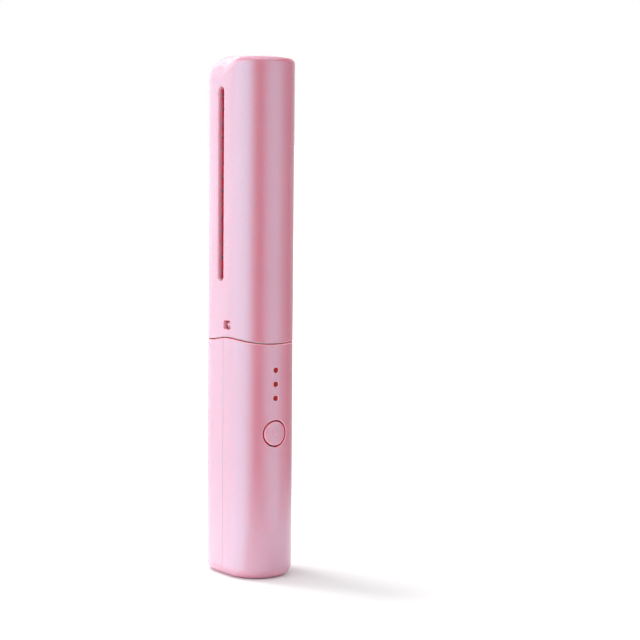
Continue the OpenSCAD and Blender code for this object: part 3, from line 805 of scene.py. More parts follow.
@dataclass(frozen=True)
class OvalSection:
    """The body's section: an oval that is flattened softly on the -X side."""

    round_reach: float = 15.1
    half_depth: float = 18.5
    flat_plane: float = 14.0
    fullness: float = 2.15
    blend: float = 1.4
    ends: Pair = (4.1, 189.5)
    wall_slack: float = 0.002
    wall_facing: float = 0.98
    outer_level: float = 0.95
    rim_facing: Pair = (0.2, 0.985)
    end_facing: Pair = (-0.3, 0.3)

    def lift(self, above: Array) -> Array:
        """Lifts distances from the flat plane softly above 0.

        The result is half the sum of the distance and the root of its square plus the blend's.
        """
        return (above + np.sqrt(above**2 + self.blend**2)) / 2

    def outline(self, inset: float | Array, turns: Array) -> Array:
        """Points of the section, drawn in by an inset.

        The oval is a superellipse: each half axis times cosine or sine raised to 2 over the
        fullness, with its sign kept. Then x is lifted softly above the flat plane.

        Args:
            inset: How far the section is drawn in.
            turns: Angles of the points.

        Returns:
            x and y of each point.
        """
        axes = ((self.round_reach, np.cos(turns)), (self.half_depth, np.sin(turns)))
        power = 2 / self.fullness
        wide, deep = ((half - inset) * np.sign(share) * np.abs(share) ** power for half, share in axes)
        plane = self.flat_plane - inset
        return np.stack([self.lift(wide + plane) - plane, deep], axis=-1)

    def shares(self, points: Array) -> tuple[Array, Array, Array]:
        """Undoes the flattening: x and y as shares of the half axes, and the stretch of x.

        Args:
            points: Points, with x and y first.

        Returns:
            The share along x, the share along y and the stretch of x, point by point.
        """
        above = np.maximum(points[..., 0] + self.flat_plane, 1e-6)
        wide = above - self.blend**2 / (4 * above) - self.flat_plane
        stretch = 1 + self.blend**2 / (4 * above**2)
        return wide / self.round_reach, points[..., 1] / self.half_depth, stretch

    def outward(self, points: Array) -> tuple[Array, Array]:
        """Level direction out of the oval at each point, and the sum of powers, 1 on the wall.

        The direction is the gradient of the superellipse's sum of powers, with x mapped back past
        the flattening.

        Args:
            points: Points, with x and y first.

        Returns:
            The directions and the sums, point by point.
        """
        wide, deep, stretch = self.shares(points)
        power = self.fullness
        across = np.abs(wide) ** (power - 1) * np.sign(wide) / self.round_reach * stretch
        along = np.abs(deep) ** (power - 1) * np.sign(deep) / self.half_depth
        true = np.stack([across, along, np.zeros_like(across)], axis=-1)
        true /= np.maximum(np.linalg.norm(true, axis=-1, keepdims=True), 1e-9)
        return true, np.abs(wide) ** power + np.abs(deep) ** power

    def wall_normals(self, points: Array, rough: Array, faces: Array) -> Array:
        """True normals on the upright outer wall, and the rough ones elsewhere.

        A corner is on the wall where the sum of powers is 1 and its face looks the same way.

        Args:
            points: Points of the face corners.
            rough: Their rough normals.
            faces: The normals of their faces.

        Returns:
            The normals.
        """
        true, level = self.outward(points)
        facing = (true * faces).sum(-1) > self.wall_facing
        known = (np.abs(level - 1) < self.wall_slack) & facing
        return np.where(known[:, None], true, rough)

    def layer(self, centres: Array, normals: Array) -> Array:
        """Tells how each face of a shell is finished.

        The outside lies at the section and looks out of it, and in the roundings of the top and the
        base it looks outwards or away from the middle height. A rim is the part of the wall that
        turns into a cut.

        Args:
            centres: Centres of the faces.
            normals: Normals of the faces.

        Returns:
            For each face 0 for the outside, 1 for the inside and cuts, or 2 for rims.
        """
        true, level = self.outward(centres)
        out = (true * normals).sum(-1)
        height = centres[:, 2]
        at_end = np.where(height > self.ends[1], 1.0, np.where(height < self.ends[0], -1.0, 0.0))
        least, turned = self.end_facing
        rounded = (at_end != 0) & (out + at_end * normals[:, 2] > turned) & (out > least)
        rim, plain = self.rim_facing
        wall = (level > self.outer_level) & (out > rim) & (at_end == 0)
        return np.where(rounded | (wall & (out > plain)), 0, np.where(wall, 2, 1))

    def front(self, x: Array) -> Array:
        """How far the front stands before the axis: the depth times what the power of x leaves.

        Args:
            x: Places across the front.

        Returns:
            The distance at each place.
        """
        share, _, _ = self.shares(np.stack([x, np.zeros_like(x)], axis=-1))
        left = np.clip(1 - np.abs(share) ** self.fullness, 0, 1)
        return self.half_depth * left ** (1 / self.fullness)

    def side(self, y: Array) -> Array:
        """How far the flat side stands from the axis: what the power of y leaves, flattened.

        Args:
            y: Places along the flat side.

        Returns:
            The distance at each place.
        """
        left = np.clip(1 - np.abs(y / self.half_depth) ** self.fullness, 0, 1)
        above = self.flat_plane - self.round_reach * left ** (1 / self.fullness)
        return self.flat_plane - self.lift(above)


@dataclass(frozen=True)
class WavySeam:
    """The seam between cap and handle: it swings twice round the body, under a shorter wave."""

    mean: float = 91.6
    wave: float = 0.95
    turn: float = math.radians(21.0)
    ripple: float = 0.3
    gap: float = 0.3
    edge: float = 0.4

    def height(self, outline: Array) -> Array:
        """Height over each point of an outline.

        It is the mean, plus the wave times the cosine of twice the bearing less the turn, plus the
        ripple times the sine of four bearings.

        Args:
            outline: x and y of each point.

        Returns:
            The height over each point.
        """
        bearing = np.arctan2(outline[..., 1], outline[..., 0])
        swing = self.wave * np.cos(2 * (bearing - self.turn))
        return self.mean + swing + self.ripple * np.sin(4 * bearing)


@dataclass(frozen=True)
class Shape:
    """What all pieces of the body share."""

    section: OvalSection = OvalSection()
    seam: WavySeam = WavySeam()
    height: float = 200.0
    columns: int = 288

    @property
    def turns(self) -> Array:
        """Angles of the points of a ring."""
        return np.linspace(0.0, 2 * math.pi, self.columns, endpoint=False)

    def ring(self, inset: float | Array, level: float | Array) -> Array:
        """Ring of the section, drawn in by inset and lying at level, also point by point."""
        outline = self.section.outline(inset, self.turns)
        return np.c_[outline, np.broadcast_to(level, self.columns)]

    def seam_ring(self, inset: float, rise: float) -> Array:
        """Ring that follows the seam, lifted by rise."""
        outline = self.section.outline(inset, self.turns)
        return np.c_[outline, self.seam.height(outline) + rise]


@dataclass(frozen=True)
class CapShell:
    """The slide-off cap, with its vent slot, latch window and the latch's track inside."""

    shape: Shape
    wall: float = 1.8
    roof: float = 2.0
    top_radius: float = 2.2
    nose_radius: float = 9.0
    nose_bearing: float = 25.0
    nose_span: Pair = (22.0, 76.0)
    top_tilt: float = math.radians(79.0)
    crown: float = 0.8
    crown_x: float = -3.0
    crown_inset: float = 12.4
    slot_half: Pair = (1.8, 36.75)
    slot_centre: Pair = (0.0, 151.25)
    slot_inside: float = -9.0
    slot_edge: float = 0.65
    window_half: Pair = (2.3, 1.65)
    window_centre: Pair = (-4.6, 97.8)
    window_corner: float = 0.7
    window_inside: float = -10.5
    window_edge: float = 0.2
    track_low: Triple = (-12.76, -6.15, 80.0)
    track_high: Triple = (-10.5, -3.05, 97.8)

    def rounding(self) -> Array:
        """Radius of the rounding between wall and top, for each point of a ring.

        It is the nose's radius near the flat side and the top's radius elsewhere. Between them it
        follows the smooth step of the bearing from the nose's middle, from the end of the nose's
        span back to its start.

        Returns:
            The radius of each point.
        """
        outline = self.shape.section.outline(0.0, self.shape.turns)
        bearing = np.degrees(np.arctan2(outline[:, 1], -outline[:, 0]))
        start, end = self.nose_span
        share = np.clip((end - np.abs(bearing - self.nose_bearing)) / (end - start), 0, 1)
        return self.top_radius + (self.nose_radius - self.top_radius) * smooth(share)

    def top_rings(self) -> list[Array]:
        """Rings up the edge rounding and over the crowned middle.

        The edge rounding is an arc of the rounding's radius that stops short of level. The middle
        rises from there: its height falls from the top by the crown times the squared shares of x
        and y, and towards the centre it follows share times 2 less share.

        Returns:
            The rings, from the wall to the centre.
        """
        shape, section = self.shape, self.shape.section
        radius = self.rounding()
        inset = radius * (1 - math.cos(self.top_tilt))
        end = section.outline(inset, shape.turns)
        wide = (end[:, 0] - self.crown_x) / section.round_reach
        level = shape.height - self.crown * (wide**2 + (end[:, 1] / section.half_depth) ** 2)
        edge = [
            shape.ring(
                radius * (1 - math.cos(turn)),
                level - radius * (math.sin(self.top_tilt) - math.sin(turn)),
            )
            for turn in np.linspace(0.0, self.top_tilt, 19)
        ]
        middle = [
            shape.ring(
                inset + (self.crown_inset - inset) * share,
                level + (shape.height - level) * share * (2 - share),
            )
            for share in np.linspace(0.0, 1.0, 9)[1:]
        ]
        return edge + middle

    def roof_rings(self) -> list[Array]:
        """Rings from the middle of the roof's inside down to the inner wall.

        They follow a quarter circle that is one wall smaller than the rounding outside.

        Returns:
            The rings.
        """
        shape, wall = self.shape, self.wall
        radius = np.maximum(self.rounding() - wall, 0.1)
        top = shape.height - self.roof
        return [
            shape.ring(wall + radius * (1 - math.cos(turn)), top - radius * (1 - math.sin(turn)))
            for turn in np.linspace(QUARTER, 0.0, 10)
        ]

    def rings(self) -> Array:
        """Rings from the roof's inside down, round the rim, up the outside and over the top.

        The rim's outer edge is a quarter circle that follows the seam, and the walls run straight.

        Returns:
            The rings, as rows by columns by 3.
        """
        shape, seam = self.shape, self.shape.seam
        roof = self.roof_rings()
        rim_inside = shape.seam_ring(self.wall, seam.gap)
        rim = [
            shape.seam_ring(seam.edge * (1 - math.sin(turn)), seam.gap + seam.edge * (1 - math.cos(turn)))
            for turn in np.linspace(0.0, QUARTER, 5)
        ]
        over = self.top_rings()
        inner = between(roof[-1], rim_inside, 24)
        outer = between(rim[-1], over[0], 40)
        return np.stack([*roof, *inner, rim_inside, *rim, *outer, *over])

    def slot_outline(self, grow: float) -> Array:
        """Outline of the vent slot with half round ends, grown by a length, as y and z."""
        half = (self.slot_half[0] + grow, self.slot_half[1] + grow)
        return rounded_box(half, half[0] - ALMOST, self.slot_centre, 16)

    def window_outline(self, grow: float) -> Array:
        """Outline of the latch window, grown by a length, as y and z."""
        half = (self.window_half[0] + grow, self.window_half[1] + grow)
        return rounded_box(half, self.window_corner + grow, self.window_centre, 6)

    def build(self, finishes: Materials) -> None:
        """Makes the cap from its rings and cuts the openings into it.

        Args:
            finishes: The finished materials.
        """
        section = self.shape.section
        cap = closed_stack("cap", self.rings())
        openings = (
            ("slot_tool", self.slot_outline, self.slot_inside, self.slot_edge),
            ("window_tool", self.window_outline, self.window_inside, self.window_edge),
        )
        tools = [
            flared_tool(name, outline, section.side, 0, inside, edge)
            for name, outline, inside, edge in openings
        ]
        carve(cap, [*tools, box("track_tool", self.track_low, self.track_high)])
        # Cut walls, rims and the inside take the paler bare colour: painted light.
        materials = finishes.pick(Slot.PEARL, Extra.BARE_PAINTED_LIGHT, Extra.BARE_PAINTED_LIGHT)
        finish_piece(
            cap,
            Body.CAP,
            ["cap_shell"],
            materials,
            normals=section.wall_normals,
            layer=section.layer,
        )


@dataclass(frozen=True)
class HandleShells:
    """The two halves of the handle, split by an upright plane in front of the axis."""

    shape: Shape
    wall: float = 2.0
    floor: float = 2.2
    base_radius: float = 4.0
    parting: float = -2.3
    parting_gap: float = 0.1
    button_z: float = 56.6
    button_hole: float = 5.2
    ring_edge: float = 0.42
    boss_radius: float = 7.0
    boss_reach: Pair = (-16.6, -13.7)
    light_levels: tuple[float, ...] = (81.0, 75.6, 70.2)
    light_radius: float = 1.05
    light_edge: float = 0.35
    hole_inside: float = -5.0
    socket_half: Pair = (4.65, 1.8)
    socket_centre: Pair = (0.5, -9.7)
    socket_reach: Pair = (-5.0, 6.0)
    tool_levels: Pair = (-10.0, 120.0)
    edge_break: float = 0.1

    def rings(self) -> Array:
        """Rings from the base up the outside, over the rim and down the inside to the floor.

        The base's edge is a quarter circle, and so is the rim's outer edge, which follows the seam.

        Returns:
            The rings, as rows by columns by 3.
        """
        shape, seam = self.shape, self.shape.seam
        base = [
            shape.ring(self.base_radius * (1 - math.sin(turn)), self.base_radius * (1 - math.cos(turn)))
            for turn in np.linspace(0.0, QUARTER, 17)
        ]
        rim = [
            shape.seam_ring(seam.edge * (1 - math.cos(turn)), -seam.edge * (1 - math.sin(turn)))
            for turn in np.linspace(0.0, QUARTER, 5)
        ]
        rim_inside = shape.seam_ring(self.wall, 0.0)
        floor = shape.ring(self.wall, self.floor)
        outer = between(base[-1], rim[0], 34)
        inner = between(rim_inside, floor, 20)
        return np.stack([*base, *outer, *rim, rim_inside, *inner, floor])

    def round_hole(self, radius: float, level: float, edge: float, sides: int) -> Piece:
        """Tool for a round hole in the front, at a level, with a round edge.

        Args:
            radius: Radius of the hole.
            level: Height of its centre.
            edge: Radius of its edge.
            sides: Points round it.

        Returns:
            The tool.
        """

        def outline(grow: float) -> Array:
            """The hole's circle, grown by a length."""
            return circle(radius + grow, sides, (0.0, level))

        front = self.shape.section.front
        return flared_tool("hole_tool", outline, front, 1, self.hole_inside, edge)

    def build(self, finishes: Materials) -> None:
        """Makes both halves, and gives the front one the button's boss and all the holes.

        Args:
            finishes: The finished materials.
        """
        section = self.shape.section
        before, behind = (self.parting + side * self.parting_gap / 2 for side in (-1, 1))
        low, high = self.tool_levels
        front = closed_stack("handle_front", self.rings())
        carve(front, [box("front_tool", (-FAR, -FAR, low), (FAR, before, high))], "INTERSECT")
        button = circle(self.boss_radius, 96, (0.0, self.button_z))
        carve(front, [prism("boss_tool", button, *self.boss_reach, 1)], "UNION")
        holes = [self.round_hole(self.button_hole, self.button_z, self.ring_edge, 128)]
        for level in self.light_levels:
            holes.append(self.round_hole(self.light_radius, level, self.light_edge, 48))
        socket = rounded_box(self.socket_half, self.socket_half[1] - ALMOST, self.socket_centre, 10)
        holes.append(prism("socket_tool", socket, *self.socket_reach, 2))
        carve(front, holes)
        back = closed_stack("handle_back", self.rings())
        carve(back, [box("back_tool", (-FAR, behind, low), (FAR, FAR, high))], "INTERSECT")
        for piece, node in ((front, "handle_front_shell"), (back, "handle_back_shell")):
            soften(piece, self.edge_break, 50.0, 2)
            # Inside faces and hole walls take the darker gap colour as painted shade; rims take the paler
            # rim colour as a painted highlight.
            materials = finishes.pick(Slot.PEARL, Extra.GAP_PAINTED_SHADE, Extra.RIM_PAINTED_HIGHLIGHT)
            finish_piece(
                piece,
                Body.COMB,
                [node],
                materials,
                normals=section.wall_normals,
                layer=section.layer,
            )


@dataclass(frozen=True)
class PowerButton:
    """The round button, flush with the front, with a raised power sign."""

    shape: Shape
    centre_z: float = 56.6
    radius: float = 4.62
    edge: float = 0.4
    flange_radius: float = 5.9
    flange_face: float = -13.6
    stem_face: float = -12.6
    plunger_face: float = -12.1
    stem_radius: float = 1.3
    sign_radius: float = 1.45
    sign_line: float = 0.2
    sign_rise: float = 0.1
    sign_opening: float = math.radians(35.0)
    sign_bar: Pair = (0.35, 1.9)
    rings: int = 60
    sides: int = 128

    def sign_height(self, across: Array, up: Array) -> Array:
        """Height of the raised sign: an open ring and an upright bar.

        The height falls off smoothly with the distance from the nearer of the two centre lines.

        Args:
            across: Places to the right of the button's centre.
            up: Places above it.

        Returns:
            The height at each place.
        """
        opening = self.sign_opening
        tip = self.sign_radius * np.array([math.sin(opening), math.cos(opening)])
        to_tip = np.hypot(np.abs(across) - tip[0], up - tip[1])
        to_circle = np.abs(np.hypot(across, up) - self.sign_radius)
        ring = np.where(np.abs(np.arctan2(across, up)) > opening, to_circle, to_tip)
        bar = np.hypot(across, up - np.clip(up, *self.sign_bar))
        near = np.minimum(ring, bar)
        share = np.clip((self.sign_line - near) / (0.5 * self.sign_line) + 0.5, 0, 1)
        return self.sign_rise * smooth(share)

    def layer(self, centres: Array, normals: Array) -> Array:
        """Tells how each face is finished: 0 for the face, 1 for behind it, 2 for its rim.

        Args:
            centres: Centres of the faces.
            normals: Normals of the faces.

        Returns:
            The number for each face.
        """
        reach = np.hypot(centres[:, 0], centres[:, 2] - self.centre_z)
        rim = reach > self.radius - self.edge
        return np.where(normals[:, 1] > -0.2, 1, np.where(rim, 2, 0))

    def build(self, finishes: Materials) -> None:
        """Makes the button: a polar grid laid on the front, then its side, flange and stem.

        The face lies deeper than the body by the sign's height, so that the sign ends flush, and
        sinks towards its edge by a quarter circle of the edge radius. Below the face, rings of one
        radius each go straight back.

        Args:
            finishes: The finished materials.
        """
        turn = np.linspace(0.0, 2 * math.pi, self.sides, endpoint=False)
        flat = self.radius - self.edge
        edge = flat + self.edge * np.sin(np.linspace(0.1, 1.0, 6) * QUARTER)
        reach = np.concatenate([np.linspace(0.02, flat, self.rings), edge])
        across = reach[:, None] * np.cos(turn)
        up = reach[:, None] * np.sin(turn)
        over = np.clip((reach - flat) / self.edge, 0, 1)[:, None]
        sunk = self.edge * (1 - np.sqrt(np.clip(1 - over**2, 0, 1)))
        body = self.shape.section.front(across)
        front = -body + sunk + self.sign_rise - self.sign_height(across, up)
        rings = [*np.stack([across, front, up + self.centre_z], axis=-1)]
        for radius, level in (
            (self.radius, self.flange_face),
            (self.flange_radius, self.flange_face),
            (self.flange_radius, self.stem_face),
            (self.stem_radius, self.stem_face),
            (self.stem_radius, self.plunger_face),
        ):
            outline = circle(radius, self.sides, (0.0, self.centre_z))
            rings.append(np.insert(outline, 1, level, axis=1))
        button = closed_stack("button", np.stack(rings))
        # Behind the face: the darker gap colour as painted shade; the rim: the paler rim colour as a
        # painted highlight.
        materials = finishes.pick(Slot.PEARL, Extra.GAP_PAINTED_SHADE, Extra.RIM_PAINTED_HIGHLIGHT)
        finish_piece(button, Body.BUTTON, ["power_button"], materials, 40.0, layer=self.layer)


@dataclass(frozen=True)
class CombBlade:
    """The flat blade with its row of teeth and a guard at each end."""

    root_x: float = -5.65
    inner_x: float = 8.1
    tip_x: float = -11.36
    foot: float = 104.09
    top: float = 195.8
    first: float = 184.7
    pitch: float = 5.14
    count: int = 14
    root: float = 2.7
    tip: float = 1.1
    guard_radius: float = 4.6
    guard_drop: float = 1.0
    corner_cut: float = 0.4
    root_rise: float = 0.3
    sweep: float = 8.8
    front: float = 2.2
    thickness: float = 2.0
    tip_share: float = 0.6
    edge_break: float = 0.28

    def outline(self) -> Array:
        """Side view of the blade, as x and z.

        Each tooth runs from its root to a half circle at its tip. The foot guard follows a quarter
        of an ellipse, and the top guard ends in a quarter circle.

        Returns:
            The outline's points.
        """
        root, tip, cut = self.root_x, self.tip_x, self.corner_cut
        quarter = np.radians(np.linspace(90, 0, 13))
        across = tip + (root - tip) * np.sin(quarter)
        foot = np.c_[across, self.foot + self.sweep * np.cos(quarter)]
        guard = self.first - self.count * self.pitch + self.root / 2
        foot_tip = [[tip, guard - cut], [tip + cut, guard], [root, guard + self.root_rise]]
        half_turn = np.radians(np.linspace(-90, 90, 9))
        round_tip = self.tip / 2 * np.c_[1 - np.cos(half_turn), np.sin(half_turn)] + [tip, 0.0]
        tooth = np.concatenate([[[root, -self.root / 2]], round_tip, [[root, self.root / 2]]])
        levels = self.first - self.pitch * np.arange(self.count - 1, -1, -1)
        teeth = [tooth + [0.0, level] for level in levels]
        low, high = self.first + self.pitch - self.root / 2, self.top - self.guard_drop
        top_tip = [[root, low - self.root_rise], [tip + cut, low], [tip, low + cut]]
        rise = np.radians(np.linspace(0, 90, 13))
        corner = self.guard_radius * np.c_[1 - np.cos(rise), np.sin(rise) - 1] + [tip, high]
        ends = [[root, high], [root, self.top], [self.inner_x, self.top]]
        start = [[self.inner_x, self.foot]]
        return np.concatenate([start, foot, foot_tip, *teeth, top_tip, corner, ends])

    def build(self, finishes: Materials) -> None:
        """Makes the blade: the outline, extruded and thinned in a straight line to the tips.

        Args:
            finishes: The finished materials.
        """
        outline = self.outline()
        share = np.clip((outline[:, 0] - self.root_x) / (self.tip_x - 1 - self.root_x), 0, 1)
        half = self.thickness / 2 * (1 - (1 - self.tip_share) * share)
        middle = self.front + self.thickness / 2
        rings = [np.insert(outline, 1, middle + side * half, axis=1) for side in (-1, 1)]
        blade = closed_stack("comb_blade_teeth", np.stack(rings))
        soften(blade, self.edge_break, 40.0, 3)
        finish_piece(blade, Body.COMB, ["comb_blade"], finishes.pick(Extra.HEAD), 35.0)


@dataclass(frozen=True)
class CombHead:
    """The two halves of the head, collar and shoulder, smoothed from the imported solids."""

    nodes: tuple[str, ...] = ("comb_front_shell", "comb_back_shell")
    merge: float = 0.002
    degenerate: float = 0.001
    crease: float = 24.0
    latch_x: float = -11.5

    def layer(self, centres: Array, normals: Array) -> Array:
        """Tells the latch's outer face, which is 1, from the rest; that face takes the paler rim colour
        as painted light.
        """
        return centres[:, 0] < self.latch_x

    def build(self, frame: dict, finishes: Materials) -> None:
        """Copies each half, merges its loose triangles and shades it.

        Args:
            frame: What the frame gave.
            finishes: The finished materials.
        """
        for node in self.nodes:
            mesh = frame["nodes"][node].data.copy()
            mesh.transform(Matrix.Scale(1 / MM, 4))
            with edited(mesh) as work:
                bmesh.ops.remove_doubles(work, verts=work.verts, dist=self.merge)
                bmesh.ops.dissolve_degenerate(work, edges=work.edges, dist=self.degenerate)
            half = linked(node.replace("comb_", "head_").replace("_shell", ""), mesh)
            # The latch's outer face, seen through the cap's window, takes the paler rim colour as painted
            # light.
            materials = finishes.pick(Extra.HEAD, Extra.RIM_PAINTED_HIGHLIGHT)
            finish_piece(half, Body.COMB, [node], materials, self.crease, layer=self.layer)


@dataclass(frozen=True)
class InnerParts:
    """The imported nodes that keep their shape."""

    slot_key: str = "material_slot"

    def dress(self, frame: dict, finishes: Materials) -> None:
        """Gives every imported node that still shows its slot's material.

        Args:
            frame: What the frame gave.
            finishes: The finished materials.
        """
        slots = {part["node"]: part[self.slot_key] for part in frame["record"]["subparts"]}
        for name, node in frame["nodes"].items():
            if node.hide_render:
                continue
            slot = Slot(slots[name])
            node.data.materials.clear()
            node.data.materials.append(finishes[slot])
            LOG.info("%s: dressed as %s", name, slot.value)


# --------------------------------------------------------------------------------------------------
# Studio
# --------------------------------------------------------------------------------------------------


def direction(yaw: float, bearing: float, rise: float) -> Vector:
    """Direction of length 1: the bearing counts from the camera to the right, the rise upwards.

    Args:
        yaw: The camera's turn about Z.
        bearing: Degrees from the camera to the right.
        rise: Degrees above level.

    Returns:
        The direction.
    """
    angle, lift = yaw + math.radians(bearing), math.radians(rise)
    level = math.cos(lift)
    return Vector((math.sin(angle) * level, -math.cos(angle) * level, math.sin(lift)))


@dataclass(frozen=True)
class Softbox:
    """A flat lamp that looks at a point on the comb and doesn't show in reflections."""

    name: str
    bearing: float
    rise: float
    distance: float
    width: float
    height: float
    radiance: float

    def build(self, yaw: float, target: Vector) -> None:
        """Makes the lamp.

        The power is the radiance times pi times the area, which makes the lamp's face that bright.

        Args:
            yaw: The camera's turn about Z.
            target: What the lamp looks at.
        """
        light = bpy.data.lights.new(self.name, "AREA")
        light.shape = "RECTANGLE"
        light.size = self.width
        light.size_y = self.height
        light.energy = self.radiance * math.pi * self.width * self.height
        lamp = linked(self.name, light)
        lamp.visible_glossy = False
        away = direction(yaw, self.bearing, self.rise)
        lamp.location = target + away * self.distance
        lamp.rotation_euler = (-away).to_track_quat("-Z", "Y").to_euler()
        LOG.info("lamp %s", self.name)


@dataclass(frozen=True)
class HighPanel:
    """A round panel with a soft edge that hangs high and shows only in reflections."""

    bearing: float
    rise: float
    spread: Pair
    level: float

    def radiance(self, nodes: Nodes, directions: Socket, yaw: float) -> Socket:
        """Brightness of the panel, which falls off with the angle from its middle.

        Args:
            nodes: Where the nodes are written.
            directions: Directions of length 1.
            yaw: The camera's turn about Z.

        Returns:
            The socket with the brightness.
        """
        middle = direction(yaw, self.bearing, self.rise)
        product = nodes.add("VectorMath", {0: directions, 1: middle}, operation="DOT_PRODUCT")
        span = tuple(math.cos(math.radians(edge)) for edge in self.spread)
        return nodes.step(product.outputs["Value"], span, (0.0, self.level))


@dataclass(frozen=True)
class Surround:
    """What reflections see all round the comb: bright panels and a dark gap.

    A stop is a bearing in degrees, counted from the camera to the right, and the brightness there.
    The panels keep their brightness up to the start of the fade, given as the sine of the
    elevation, and drop to the fade's share by its end. The high panels hang above them.
    """

    stops: tuple[Pair, ...] = (
        *((-180.0, 1.0), (-155.0, 1.8), (-125.0, 2.0), (-95.0, 2.0)),
        *((-70.0, 2.4), (-40.0, 2.3), (-28.0, 1.9), (-8.0, 0.6)),
        *((3.0, 0.12), (14.0, 0.12), (40.0, 1.0), (66.0, 1.25)),
        *((90.0, 0.5), (120.0, 0.15), (150.0, 0.5), (180.0, 1.0)),
    )
    most: float = 2.5
    fade: Pair = (0.35, 0.6)
    fade_share: float = 0.35
    high: tuple[HighPanel, ...] = (
        HighPanel(-150.0, 33.0, (27.0, 10.5), 2.25),
        HighPanel(0.0, 90.0, (50.0, 34.0), 1.1),
    )

    def sky(self, nodes: Nodes, directions: Socket, yaw: float) -> Socket:
        """Brightness above the floor: the panels, fading upwards, or a brighter high panel.

        Args:
            nodes: Where the nodes are written.
            directions: Directions of length 1.
            yaw: The camera's turn about Z.

        Returns:
            The socket with the brightness.
        """
        height = nodes.add("SeparateXYZ", {0: directions}).outputs["Z"]
        share = nodes.step(height, self.fade, (1.0, self.fade_share))
        level = nodes.maths("MULTIPLY", self.radiance(nodes, directions, yaw), share)
        for panel in self.high:
            level = nodes.maths("MAXIMUM", level, panel.radiance(nodes, directions, yaw))
        return level

    def radiance(self, nodes: Nodes, places: Socket, yaw: float) -> Socket:
        """Brightness of the panels in the direction of a place.

        The place is turned so that its x runs to the right and its y away from the camera. The
        bearing is the arc tangent of x and minus y, and the ramp over it holds the stops as shares
        of the most.

        Args:
            nodes: Where the nodes are written.
            places: Places or directions, seen from the comb.
            yaw: The camera's turn about Z.

        Returns:
            The socket with the brightness.
        """
        turned = nodes.add("Mapping", {"Vector": places, "Rotation": (0.0, 0.0, -yaw)})
        parts = nodes.add("SeparateXYZ", {0: turned.outputs["Vector"]}).outputs
        bearing = nodes.maths("ARCTAN2", parts["X"], nodes.maths("MULTIPLY", parts["Y"], -1.0))
        share = nodes.maths("MULTIPLY_ADD", bearing, 1 / (2 * math.pi), 0.5)
        stops = [(where / 360 + 0.5, (level / self.most,) * 3) for where, level in self.stops]
        return nodes.maths("MULTIPLY", nodes.ramp(share, stops), self.most)


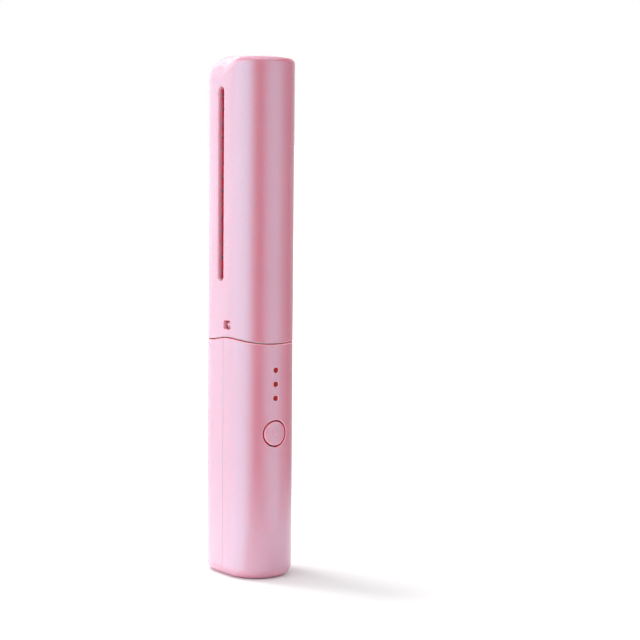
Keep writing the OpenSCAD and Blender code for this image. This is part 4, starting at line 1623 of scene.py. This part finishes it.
@dataclass(frozen=True)
class Studio:
    """Camera, white floor, lamps and world."""

    yaw: float = math.radians(-34.985)
    tilt: float = math.radians(5.68)
    roll: float = math.radians(0.539)
    focal_pixels: float = 1980.0
    frame_pixels: float = 640.0
    sensor: float = 36.0
    place: Triple = (-0.41539, -0.640869, 0.174788)
    target: Triple = (0.0, 0.0, 0.1)
    ambient: float = 0.78
    floor_half: float = 12.0
    glow_span: Pair = (0.15, 0.9)
    shades: Pair = (0.97, 0.76)
    shade_span: Pair = (0.05, 0.4)
    mirror_span: Pair = (0.06, 0.32)
    clear_span: Pair = (0.006, 0.035)
    panel_span: Pair = (0.3, 1.8)
    panel_shares: Pair = (0.94, 1.06)
    softboxes: tuple[Softbox, ...] = (
        Softbox("key", -79.0, 8.0, 1.1, 1.9, 1.5, 1.12),
        Softbox("back", -124.0, 71.0, 1.2, 0.26, 0.26, 36.0),
    )
    surround: Surround = Surround()

    def camera(self) -> None:
        """Makes the camera.

        The lens is the focal length, as a share of the frame's width, times the sensor's width.
        """
        data = bpy.data.cameras.new("camera")
        data.sensor_width = self.sensor
        data.lens = self.focal_pixels / self.frame_pixels * self.sensor
        data.clip_end = 50.0
        made = linked("camera", data)
        made.location = self.place
        look = Euler((QUARTER - self.tilt, 0.0, self.yaw)).to_matrix()
        made.rotation_euler = (look @ Matrix.Rotation(self.roll, 3, "Z")).to_euler()
        bpy.context.scene.camera = made

    def floor(self) -> None:
        """Makes the floor: diffuse and nearly white round the comb, a little greyer further out.

        The camera also sees some light of the floor's own, more with the distance, until it is as
        white as the backdrop. Reflections see the real floor near the comb, with its shadow, and
        the surround's panels where these are brighter or further away, a little weaker near the
        comb than far from it.
        """
        brush = Brush("white_floor")
        maths, step = brush.maths, brush.step
        places = brush.place()
        reach = brush.add("VectorMath", {0: places}, operation="LENGTH").outputs["Value"]
        path = brush.add("LightPath").outputs
        glossy = path["Is Glossy Ray"]
        near = step(reach, self.mirror_span, (1.0, 0.0))
        hidden = maths("MULTIPLY", glossy, maths("SUBTRACT", 1.0, near))
        shade = maths(
            "MULTIPLY", step(reach, self.shade_span, self.shades), maths("SUBTRACT", 1.0, hidden)
        )
        brush.put(Base_Color=shade, Roughness=0.8, Specular_IOR_Level=0.0)
        strength = step(reach, self.panel_span, self.panel_shares)
        panels = maths("MULTIPLY", self.surround.radiance(brush, places, self.yaw), strength)
        above = maths("MAXIMUM", maths("SUBTRACT", panels, near), 0.0)
        mirrored = maths("MULTIPLY", above, step(reach, self.clear_span, (0.0, 1.0)))
        shown = maths("MAXIMUM", path["Is Camera Ray"], path["Is Transmission Ray"])
        own = maths("MULTIPLY", step(reach, self.glow_span, (0.0, 1.0)), shown)
        light = {"Color": WHITE, "Strength": maths("MULTIPLY_ADD", mirrored, glossy, own)}
        shaders = {0: brush.shader.outputs[0], 1: brush.add("Emission", light).outputs[0]}
        surface = brush.tree.nodes["Material Output"].inputs["Surface"]
        brush.feed(surface, brush.add("AddShader", shaders).outputs[0])
        half = self.floor_half
        corners = [(-half, -half, 0), (half, -half, 0), (half, half, 0), (-half, half, 0)]
        mesh = bpy.data.meshes.new("floor")
        mesh.from_pydata(corners, [], [(0, 1, 2, 3)])
        mesh.materials.append(brush.material)
        linked("floor", mesh)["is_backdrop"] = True

    def world(self) -> None:
        """Makes the world: white for the camera, softer as a light, the surround in reflections."""
        world = bpy.data.worlds.new("studio")
        bpy.context.scene.world = world
        world.use_nodes = True
        nodes = Nodes(world.node_tree)
        directions = nodes.add("TexCoord").outputs["Generated"]
        path = nodes.add("LightPath").outputs
        glossy = path["Is Glossy Ray"]
        seen = nodes.maths("MAXIMUM", path["Is Camera Ray"], glossy)
        seen = nodes.maths("MAXIMUM", seen, path["Is Transmission Ray"])
        plain = nodes.step(seen, (0.0, 1.0), (self.ambient, 1.0))
        extra = nodes.maths("SUBTRACT", self.surround.sky(nodes, directions, self.yaw), 1.0)
        back = nodes.tree.nodes["Background"].inputs
        nodes.feed(back["Color"], WHITE)
        nodes.feed(back["Strength"], nodes.maths("MULTIPLY_ADD", extra, glossy, plain))

    def build(self) -> None:
        """Sets up the whole studio."""
        bpy.context.scene.view_settings.view_transform = "Standard"
        self.camera()
        self.floor()
        self.world()
        for softbox in self.softboxes:
            softbox.build(self.yaw, Vector(self.target))


def corners(low_high: tuple[Vector, Vector]) -> list[list[float]]:
    """Two corners as plain lists of numbers."""
    return [[float(number) for number in corner] for corner in low_high]


def main() -> None:
    """Builds the comb's looks, piece by piece, and the studio round it."""
    logging.basicConfig(level=logging.INFO, format="%(name)s %(message)s")
    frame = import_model()
    cad_box = corners(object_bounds())
    finishes = Materials({key: finish.make() for key, finish in FINISHES.items()})
    shape = Shape()
    Studio().build()
    CapShell(shape).build(finishes)
    HandleShells(shape).build(finishes)
    PowerButton(shape).build(finishes)
    CombBlade().build(finishes)
    CombHead().build(frame, finishes)
    InnerParts().dress(frame, finishes)
    {"cad": cad_box, "visual": corners(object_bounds())}


if __name__ == "__main__":
    main()
